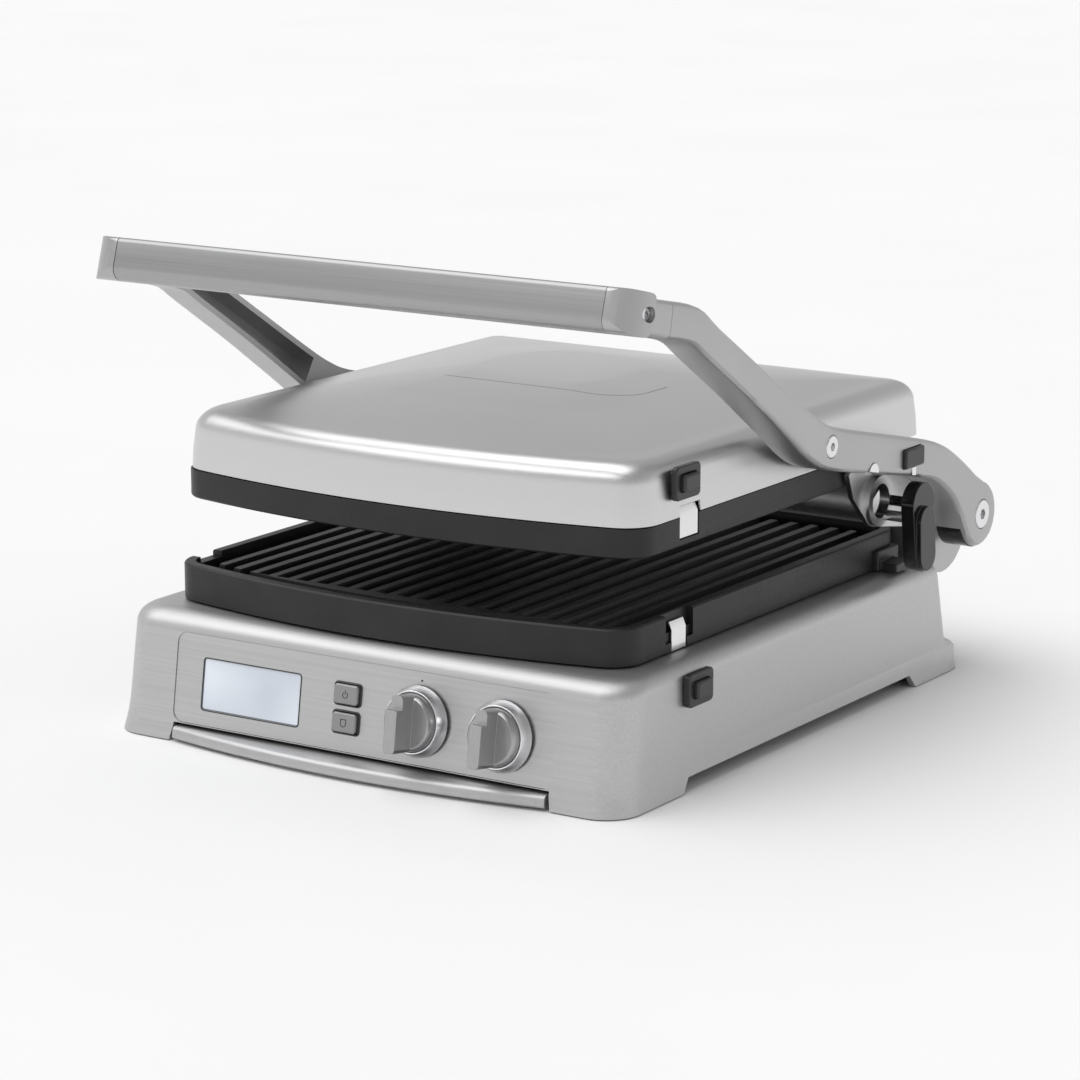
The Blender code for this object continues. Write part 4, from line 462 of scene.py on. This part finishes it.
# ================================================================ base
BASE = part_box("base_housing")
BASE_LEAN = {"side": 0.016, "front": 0.150, "rear": 0.220}
BASE_FLARE = 0.0016
BASE_WALL = 0.0028
HEEL_REACH = 0.0050
HEEL_R = 0.0070
HEEL_DEPTH = 0.039
DECK_INSET = 0.0130
SHOULDER_DROP = 0.0105        # height of the rounded band below the deck
FOOT_WIDTH = 0.043
FRONT_FOOT_DEPTH = 0.0627
REAR_FOOT_DEPTH = 0.050
SIDE_FOOT_SLOPE = 0.010       # run of each foot's inner slope
END_FOOT_SLOPE = 0.003
SKIRT_Z = 0.0088              # lower edge of the walls between the feet
SLOT_HALF = 0.129             # slot that the drip tray slides through
SLOT_TOP = 0.0112
PAN_HALF = 0.133              # opening of the deck under the lower plate
SEAT_HALF_HEIGHT = 0.0262     # recess that the control panel sits in
RELEASE_FLANGE = 0.0028       # of the release's bezel, round its opening


def base_loop(z, inset=0.0, flare=0.0, steps=10):
    """Plan outline of the leaning walls at one height."""
    low, high = BASE
    half = high.x - BASE_FLARE - BASE_LEAN["side"] * z - inset + flare
    front = low.y + BASE_FLARE + BASE_LEAN["front"] * z + inset - flare
    rear = high.y - HEEL_REACH - BASE_LEAN["rear"] * z - inset + flare
    front_r = max(0.022 - inset * 0.5, 0.005)
    rear_r = max(0.012 - inset * 0.4, 0.005)
    outline = (arc((half - rear_r, rear - rear_r), rear_r, 0, 90, steps)
               + arc((-half + rear_r, rear - rear_r), rear_r, 90, 180, steps)
               + arc((-half + front_r, front + front_r), front_r, 180, 270, steps)
               + arc((half - front_r, front + front_r), front_r, 270, 360, steps))
    return [(x, y, z) for x, y in outline]


def base_skin():
    """Housing with a rounded shoulder, its feet, openings and recesses."""
    low, high = BASE
    deck = high.z
    loops = [base_loop(deck - BASE_WALL, DECK_INSET + BASE_WALL),
             base_loop(deck - SHOULDER_DROP - BASE_WALL, BASE_WALL),
             base_loop(low.z, BASE_WALL), base_loop(low.z, 0.0, BASE_FLARE)]
    for share in (0.3, 0.6, 1.0):
        loops.append(base_loop(low.z + 0.017 * share, 0.0, BASE_FLARE * (1.0 - share) ** 1.5))
    for turn in range(0, 91, 9):
        angle = math.radians(turn)
        loops.append(base_loop(deck - SHOULDER_DROP * (1.0 - math.sin(angle) ** 1.2),
                               DECK_INSET * (1.0 - math.cos(angle)) ** 1.3))
    skin = loft("base_shell", loops, MATERIALS["base_paint"], sharp=40.0)
    for side in (-1, 1):
        join(skin, heel(side))
    carve(skin, *base_cutters())
    soften(skin, 0.0007, 2, 40.0)
    return wear(skin, "base_housing")


def heel(side):
    """Squared heel outside the rounded rear corner of the wall."""
    low, high = BASE
    inner, outer = high.x - FOOT_WIDTH, high.x - 0.0006
    loops = []
    for rise, shrink in ((0.0, 0.0), (0.0147, 0.0015), (0.0172, 0.0040), (0.0207, 0.0105)):
        x0, x1 = sorted((side * inner, side * (outer - shrink * 0.35)))
        y0, y1 = high.y - HEEL_DEPTH, high.y - shrink
        outline = (arc((x1 - HEEL_R, y1 - HEEL_R), HEEL_R, 0, 90, 6)
                   + arc((x0 + HEEL_R, y1 - HEEL_R), HEEL_R, 90, 180, 6)
                   + arc((x0 + HEEL_R, y0 + HEEL_R), HEEL_R, 180, 270, 6)
                   + arc((x1 - HEEL_R, y0 + HEEL_R), HEEL_R, 270, 360, 6))
        loops.append([(x, y, low.z + rise) for x, y in outline])
    block = loft("heel", loops, MATERIALS["base_paint"])
    core = loft("core", [base_loop(z, BASE_WALL * 0.5) for z in (-PAST, 0.036)],
                MATERIALS["base_paint"])
    carve(block, core)
    return block


def base_cutters():
    """Blocks for the gaps between the feet, the openings and the recesses."""
    low, high = BASE
    front = low.y + BASE_FLARE
    side_low, side_high = front + FRONT_FOOT_DEPTH, high.y - HEEL_REACH - REAR_FOOT_DEPTH
    foot_x = high.x - FOOT_WIDTH
    reach = 0.5
    side_notch = [(side_low, -PAST), (side_high, -PAST), (side_high - SIDE_FOOT_SLOPE, SKIRT_Z),
                  (side_low + SIDE_FOOT_SLOPE, SKIRT_Z)]
    end_notch = [(-foot_x, -PAST), (foot_x, -PAST), (foot_x - END_FOOT_SLOPE, SKIRT_Z),
                 (-foot_x + END_FOOT_SLOPE, SKIRT_Z)]
    shield_low, shield_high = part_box("lower_heat_shield")
    cutters = [
        side_prism("side_notch", side_notch, -reach, reach),
        loft("end_notch", [[(x, y, z) for x, z in end_notch] for y in (-reach, reach)],
             MATERIALS["base_paint"]),
        cutter_block("slot", (-SLOT_HALF, front - PAST, SKIRT_Z - 0.002),
                     (SLOT_HALF, front + 0.012, SLOT_TOP)),
        cutter_block("pan", (-PAN_HALF, shield_low.y + 0.005, high.z - 0.02),
                     (PAN_HALF, shield_high.y - 0.005, high.z + PAST)),
    ]
    half_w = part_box("control_panel")[1].x + 0.0002
    for grow, depth, radius in ((0.0, 0.0040, 0.0066), (-0.004, 0.0160, 0.004)):
        outline = rounded(half_w + grow, SEAT_HALF_HEIGHT + grow, radius)
        cutters.append(loft("panel_seat", [[tuple(face(x, up + PANEL_RISE, out)) for x, up in outline]
                                           for out in (-depth, 0.006)], MATERIALS["base_paint"]))
    bezel_low, bezel_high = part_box("lower_release_bezel")
    cutters.append(cutter_block(
        "release_hole",
        (high.x - 0.016, bezel_low.y + RELEASE_FLANGE, bezel_low.z + RELEASE_FLANGE),
        (high.x + 0.006, bezel_high.y - RELEASE_FLANGE, bezel_high.z - RELEASE_FLANGE)))
    return cutters


def side_prism(name, outline, low, high, mat=None):
    """A shape seen from the side, (y, z), with its thickness along x."""
    loops = [[(x, y, z) for y, z in outline] for x in (low, high)]
    return loft(name, loops, mat or MATERIALS["base_paint"])


def join(obj, *others):
    """Unite the others with a piece and drop them."""
    for other in others:
        mod = obj.modifiers.new("join", "BOOLEAN")
        mod.operation = "UNION"
        mod.solver = "EXACT"
        mod.object = other
    carve(obj)
    for other in others:
        bpy.data.objects.remove(other, do_unlink=True)


# ================================================================ panel details
KNOB_PLACE = Vector(JOINTS["knob_left_turn"]["pos_m"])
OUTWARD = -Vector(JOINTS["knob_left_turn"]["axis"])
UPWARD = Vector((0.0, OUTWARD.z, -OUTWARD.y))
PANEL_RISE = 0.0015           # panel's middle above the knobs' middles
BUTTON_RISE = 0.0080          # each button's middle above or below the knobs' line
LCD_HEIGHT = 0.0296
BUTTON_HEIGHT = 0.0118
SPOT_R = 0.0006
MARK_WIDTH = 0.0004


def face(x, up, out=0.0):
    """A point on the control panel's face, up from the knobs' line."""
    return Vector((x, KNOB_PLACE.y, KNOB_PLACE.z)) + UPWARD * up + OUTWARD * (out - FACE_BACK)


def rounded(half_w, half_h, radius, steps=6):
    return (arc((half_w - radius, half_h - radius), radius, 0, 90, steps)
            + arc((-half_w + radius, half_h - radius), radius, 90, 180, steps)
            + arc((-half_w + radius, -half_h + radius), radius, 180, 270, steps)
            + arc((half_w - radius, -half_h + radius), radius, 270, 360, steps))


def face_frame(name, centre, size, border, depth, mat):
    """Thin raised border round a window or a button."""
    bm = bmesh.new()
    x0, up0 = centre
    loops = []
    section = ((0.0, 0.0), (0.0, depth), (border * 0.3, depth + 0.0002), (border, depth * 0.6),
               (border, 0.0))
    for grow, out in section:
        outline = rounded(size[0] / 2 + grow, size[1] / 2 + grow, 0.0016 + grow)
        loops.append([bm.verts.new(face(x0 + x, up0 + up, out)) for x, up in outline])
    count = len(loops[0])
    for first, second in zip(loops, loops[1:] + loops[:1]):
        for i in range(count):
            j = (i + 1) % count
            bm.faces.new((first[i], first[j], second[j], second[i]))
    return trim(from_bmesh(name, bm, mat), "base")


def ribbon(name, path, width, out, mat, place=None, thick=0.00012):
    """Thin flat line along a path of (x, up) points on the panel's face."""
    place = place or (lambda x, up, lift: face(x, up, out + lift))
    sides = []
    for i, point in enumerate(path):
        before, after = path[max(i - 1, 0)], path[min(i + 1, len(path) - 1)]
        along = Vector((after[0] - before[0], after[1] - before[1])).normalized()
        across = Vector((-along.y, along.x)) * width / 2.0
        sides.append((Vector(point) + across, Vector(point) - across))
    loops = []
    for left, right in sides:
        loops.append([tuple(place(*left, 0.0)), tuple(place(*left, thick)),
                      tuple(place(*right, thick)), tuple(place(*right, 0.0))])
    return loft(name, loops, mat)


def disc(name, centre, radius, out, mat):
    outline = arc((0.0, 0.0), radius, 0, 360, 20)[:-1]
    return loft(name, [[tuple(face(centre[0] + x, centre[1] + up, level)) for x, up in outline]
                       for level in (out - 0.0002, out + 0.0001)], mat)


def panel_details():
    """Dark borders, marks and spots on the control panel and its controls."""
    ink = MATERIALS["bezel_plastic"]
    low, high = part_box("lcd_lens")
    centre_z = (low.z + high.z) / 2.0
    lcd_up = (centre_z - KNOB_PLACE.z) / UPWARD.z
    middle = (low.x + high.x) / 2.0
    face_frame("lcd_border", (middle, lcd_up), (high.x - low.x + 0.0006, LCD_HEIGHT),
               0.0007, 0.0002, ink)
    for name, glyph in (("button_power", power_glyph()), ("button_select", cup_glyph())):
        low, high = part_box(name)
        centre = ((low.x + high.x) / 2.0, BUTTON_RISE if name == "button_power" else -BUTTON_RISE)
        face_frame(name + "_border", centre, (high.x - low.x + 0.0006, BUTTON_HEIGHT),
                   0.0010, 0.0006, ink)
        for index, path in enumerate(glyph):
            line = ribbon(f"{name}_mark_{index}", [(centre[0] + x, centre[1] + up) for x, up in path],
                          MARK_WIDTH, 0.0030, ink)
            trim(line, name)
    for side in ("left", "right"):
        x = JOINTS[f"knob_{side}_turn"]["pos_m"][0]
        spot = disc(f"ring_spot_{side}", (x, 0.0186), SPOT_R, 0.0048, ink)
        trim(spot, BODIES["knob_ring_" + side])
    spot = disc("panel_spot", (KNOB_PLACE.x, 0.0226), SPOT_R, 0.0001, ink)
    trim(spot, "base")


def power_glyph():
    return [arc((0.0, -0.0003), 0.0017, 125, 415, 20), [(0.0, 0.0001), (0.0, 0.0012), (0.0, 0.0024)]]


def cup_glyph():
    half, top, foot = 0.0018, 0.0019, -0.0004
    bowl = [(-half, top), (-half, foot)]
    bowl += arc((0.0, foot), half, 180, 360, 14)[1:] + [(half, foot), (half, top)]
    return [bowl, [(-half - 0.0002, top), (0.0, top), (half + 0.0002, top)]]


# ================================================================ other details
LIP_BOTTOM = 0.0018
LIP_TOP = 0.0092
LIP_STEPS = 32


def lid_crease(cover):
    """Dark ribbon of painted shade along the fine pressed line on the crown, round the front right of its
    middle.
    """
    lid = Lid()
    front = lid.front + CREASE_BACK
    path = []
    for i in range(25):
        share = i / 24.0
        bow = CREASE_BOW * math.sin(math.pi * (0.25 + 0.5 * share))
        path.append((CREASE_RIGHT - CREASE_R - CREASE_WIDTH * (1.0 - share), front + CREASE_BOW - bow))
    path += arc((CREASE_RIGHT - CREASE_R, front + CREASE_R + 0.0020), CREASE_R, -86, 0, 12)
    path += [(CREASE_RIGHT, front + CREASE_R + rise) for rise in (0.012, 0.024)]

    def place(x, y, lift):
        spot, normal = cover.ray_cast(Vector((x, y, 0.4)), Vector((0.0, 0.0, -1.0)))[1:3]
        return spot + normal * (lift - 0.00004)

    line = ribbon("lid_crease", path, 0.0008, 0.0, MATERIALS["crease"], place, 0.00008)
    trim(line, "lid")


def drip_tray():
    """Tray pan, with a bowed satin lip between the front feet."""
    low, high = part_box("drip_tray")
    mat = MATERIALS["tray_paint"]
    wall = BASE[0].y + BASE_FLARE
    pan = from_bmesh("drip_tray_pan", welded("drip_tray"), mat)
    carve(pan, cutter_block("lip_cutter", (-0.2, low.y - 0.01, -0.01), (0.2, wall + 0.0090, 0.03)))
    wear(pan, "drip_tray")
    half = high.x + 0.0004
    middle, ends = low.y, wall - 0.0022
    section = ((LIP_BOTTOM, 0.0040), (LIP_BOTTOM, 0.0012), (0.0028, 0.0), (0.0066, 0.0004),
               (0.0082, 0.0012), (LIP_TOP, 0.0030), (LIP_TOP, 0.0100))
    bm = bmesh.new()
    rows = []
    for z, back in section:
        row = []
        for i in range(LIP_STEPS + 1):
            share = -1.0 + 2.0 * i / LIP_STEPS
            y = ends + (middle - ends) * (1.0 - share * share) + back
            row.append(bm.verts.new((share * half, y, z)))
        rows.append(row)
    rear = wall + 0.0086
    rows.append([bm.verts.new((v.co.x, rear, LIP_TOP)) for v in rows[-1]])
    rows.append([bm.verts.new((v.co.x, rear, LIP_BOTTOM)) for v in rows[0]])
    count = len(rows)
    for index in range(count):
        first, second = rows[index], rows[(index + 1) % count]
        for i in range(LIP_STEPS):
            bm.faces.new((first[i], first[i + 1], second[i + 1], second[i]))
    bm.faces.new([row[0] for row in rows])
    bm.faces.new([row[-1] for row in rows][::-1])
    lip = soften(from_bmesh("drip_tray_lip", bm, mat, 40.0), 0.0004, 2, 50.0)
    trim(lip, "drip_tray")


def hinge_shade_sleeve():
    """Black sleeve of painted shade under and behind each arm's round end, where the hollow arm's inside
    lies in shadow.
    """
    arm_low, arm_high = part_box("handle_arm_right")
    axis = JOINTS["handle_hinge"]["pos_m"]
    radius = arm_high.y - axis[1]
    for side in (-1, 1):
        outline = (arc((axis[1], axis[2]), radius + 0.0006, -170, -18, 24)
                   + arc((axis[1], axis[2]), radius - 0.0030, -18, -170, 24))
        low, high = sorted((side * (arm_low.x + 0.0006), side * (arm_high.x - 0.0046)))
        # painted shade: a black piece stands in for the shadow inside the hollow arm's round end
        shade_sleeve = side_prism("hinge_shade_sleeve_" + ("left" if side < 0 else "right"), outline, low, high,
                            MATERIALS["lever_plastic"])
        trim(soften(shade_sleeve, 0.0004, 2), "handle")


def catch_tab():
    """Bright tab below the black catch on the right arm."""
    low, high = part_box("hinge_catch")
    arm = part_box("handle_arm_right")[1].x
    middle = (low.y + high.y) / 2.0 + 0.0020
    outline = [(middle - 0.0024, low.z - 0.0052), (middle + 0.0024, low.z - 0.0060),
               (middle + 0.0024, low.z - 0.0004), (middle - 0.0024, low.z - 0.0004)]
    tab = side_prism("catch_tab", outline, arm - 0.0010, arm + 0.0007, MATERIALS["screw_chrome"])
    trim(soften(tab, 0.0003, 2), "handle")


# ================================================================ build
def build_skins():
    """A finished copy of each plain node, with the width of its broken edges, and the CAD's materials."""
    plain = {
        "control_panel": 0.0004,
        "lower_plate": 0.0006, "upper_plate": 0.0006,
        "hinge_post_left": 0.0012, "hinge_post_right": 0.0012,
        "hinge_bracket_left": 0.0, "hinge_bracket_right": 0.0,
        "handle_arm_left": 0.0005, "handle_arm_right": 0.0005,
        "handle_bar": 0.0003, "handle_cap_left": 0.0016, "handle_cap_right": 0.0016,
        "height_lever": 0.0012, "hinge_catch": 0.0005,
        "lower_release_bezel": 0.0005, "upper_release_bezel": 0.0005,
        "lower_release_button": 0.0006, "upper_release_button": 0.0006,
        "plate_latch_left": 0.0009, "plate_latch_right": 0.0009,
        "lower_clip": 0.0002, "upper_clip": 0.0002, "lid_bumper": 0.0006,
        "knob_left": 0.0004, "knob_right": 0.0004,
        "knob_ring_left": 0.0002, "knob_ring_right": 0.0002,
        "button_power": 0.0004, "button_select": 0.0004,
        "hinge_barrel": 0.0, "cord_gland": 0.0003,
        "hinge_screw_left": 0.0003, "hinge_screw_right": 0.0003,
        "lid_pivot_pin_left": 0.0002, "lid_pivot_pin_right": 0.0002,
        "stop_pin_left": 0.0003, "stop_pin_right": 0.0003,
        "foot_front_left": 0.0003, "foot_front_right": 0.0003,
        "foot_rear_left": 0.0003, "foot_rear_right": 0.0003,
        "lcd_lens": 0.0002, "bottom_cover": 0.0, "lid_frame": 0.0,
    }
    for node, width in plain.items():
        refined(node, width)
    for node, obj in frame["nodes"].items():
        obj.data.materials.clear()
        obj.data.materials.append(MATERIALS[SLOTS[node]])


# ================================================================ studio
def floor():
    """Plain pale floor at the counter's height."""
    nodes = Nodes("studio_floor")
    vector = nodes.place((1.0, 1.0, 1.0))
    nodes.tint(nodes.noise(vector, 3.0), (0.93, 0.93, 0.93), (0.95, 0.95, 0.95))
    nodes.rough(nodes.noise(vector, 200.0), 0.75, 0.85)
    half = FLOOR_HALF
    corners = [(-half, -half, 0.0), (half, -half, 0.0), (half, half, 0.0), (-half, half, 0.0)]
    new_object("studio_floor", corners, [(0, 1, 2, 3)], nodes.mat)


def studio():
    """Grey light all round, brighter towards the horizon, and one broad soft lamp."""
    world = bpy.data.worlds.new("studio")
    world.use_nodes = True
    tree = world.node_tree
    coords = tree.nodes.new("ShaderNodeTexCoord")
    split = tree.nodes.new("ShaderNodeSeparateXYZ")
    ramp = tree.nodes.new("ShaderNodeValToRGB")
    stops = ((0.0, 0.95), (0.12, 0.80), (0.45, 0.52), (1.0, 0.34))
    while len(ramp.color_ramp.elements) < len(stops):
        ramp.color_ramp.elements.new(0.5)
    for element, (place, level) in zip(ramp.color_ramp.elements, stops):
        element.position = place
        element.color = (level, level, level, 1.0)
    tree.links.new(coords.outputs["Generated"], split.inputs["Vector"])
    tree.links.new(split.outputs["Z"], ramp.inputs["Fac"])
    tree.links.new(ramp.outputs["Color"], tree.nodes["Background"].inputs["Color"])
    bpy.context.scene.world = world
    sun = bpy.data.lights.new("soft_sky", "SUN")
    sun.energy = SKY_POWER
    sun.angle = SKY_ANGLE
    lamp = bpy.data.objects.new("soft_sky", sun)
    lamp.rotation_euler = Vector(SKY_PLACE).to_track_quat("Z", "Y").to_euler()
    bpy.context.scene.collection.objects.link(lamp)
    bpy.context.scene.view_settings.view_transform = "Standard"
    floor()


def camera():
    """Camera at the photograph's viewing angle."""
    data = bpy.data.cameras.new("photo_camera")
    data.lens = CAMERA_LENS
    data.sensor_width = CAMERA_SENSOR
    data.clip_end = 100.0
    view = bpy.data.objects.new("photo_camera", data)
    view.location = CAMERA_PLACE
    back = Vector((math.sin(CAMERA_AZIMUTH) * math.cos(CAMERA_ELEVATION),
                   -math.cos(CAMERA_AZIMUTH) * math.cos(CAMERA_ELEVATION), math.sin(CAMERA_ELEVATION)))
    view.rotation_euler = back.to_track_quat("Z", "Y").to_euler()
    bpy.context.scene.collection.objects.link(view)
    bpy.context.scene.camera = view


build_skins()
base_skin()
panel_details()
lid_crease(lid_cover())
drip_tray()
hinge_shade_sleeve()
catch_tab()
studio()
camera()
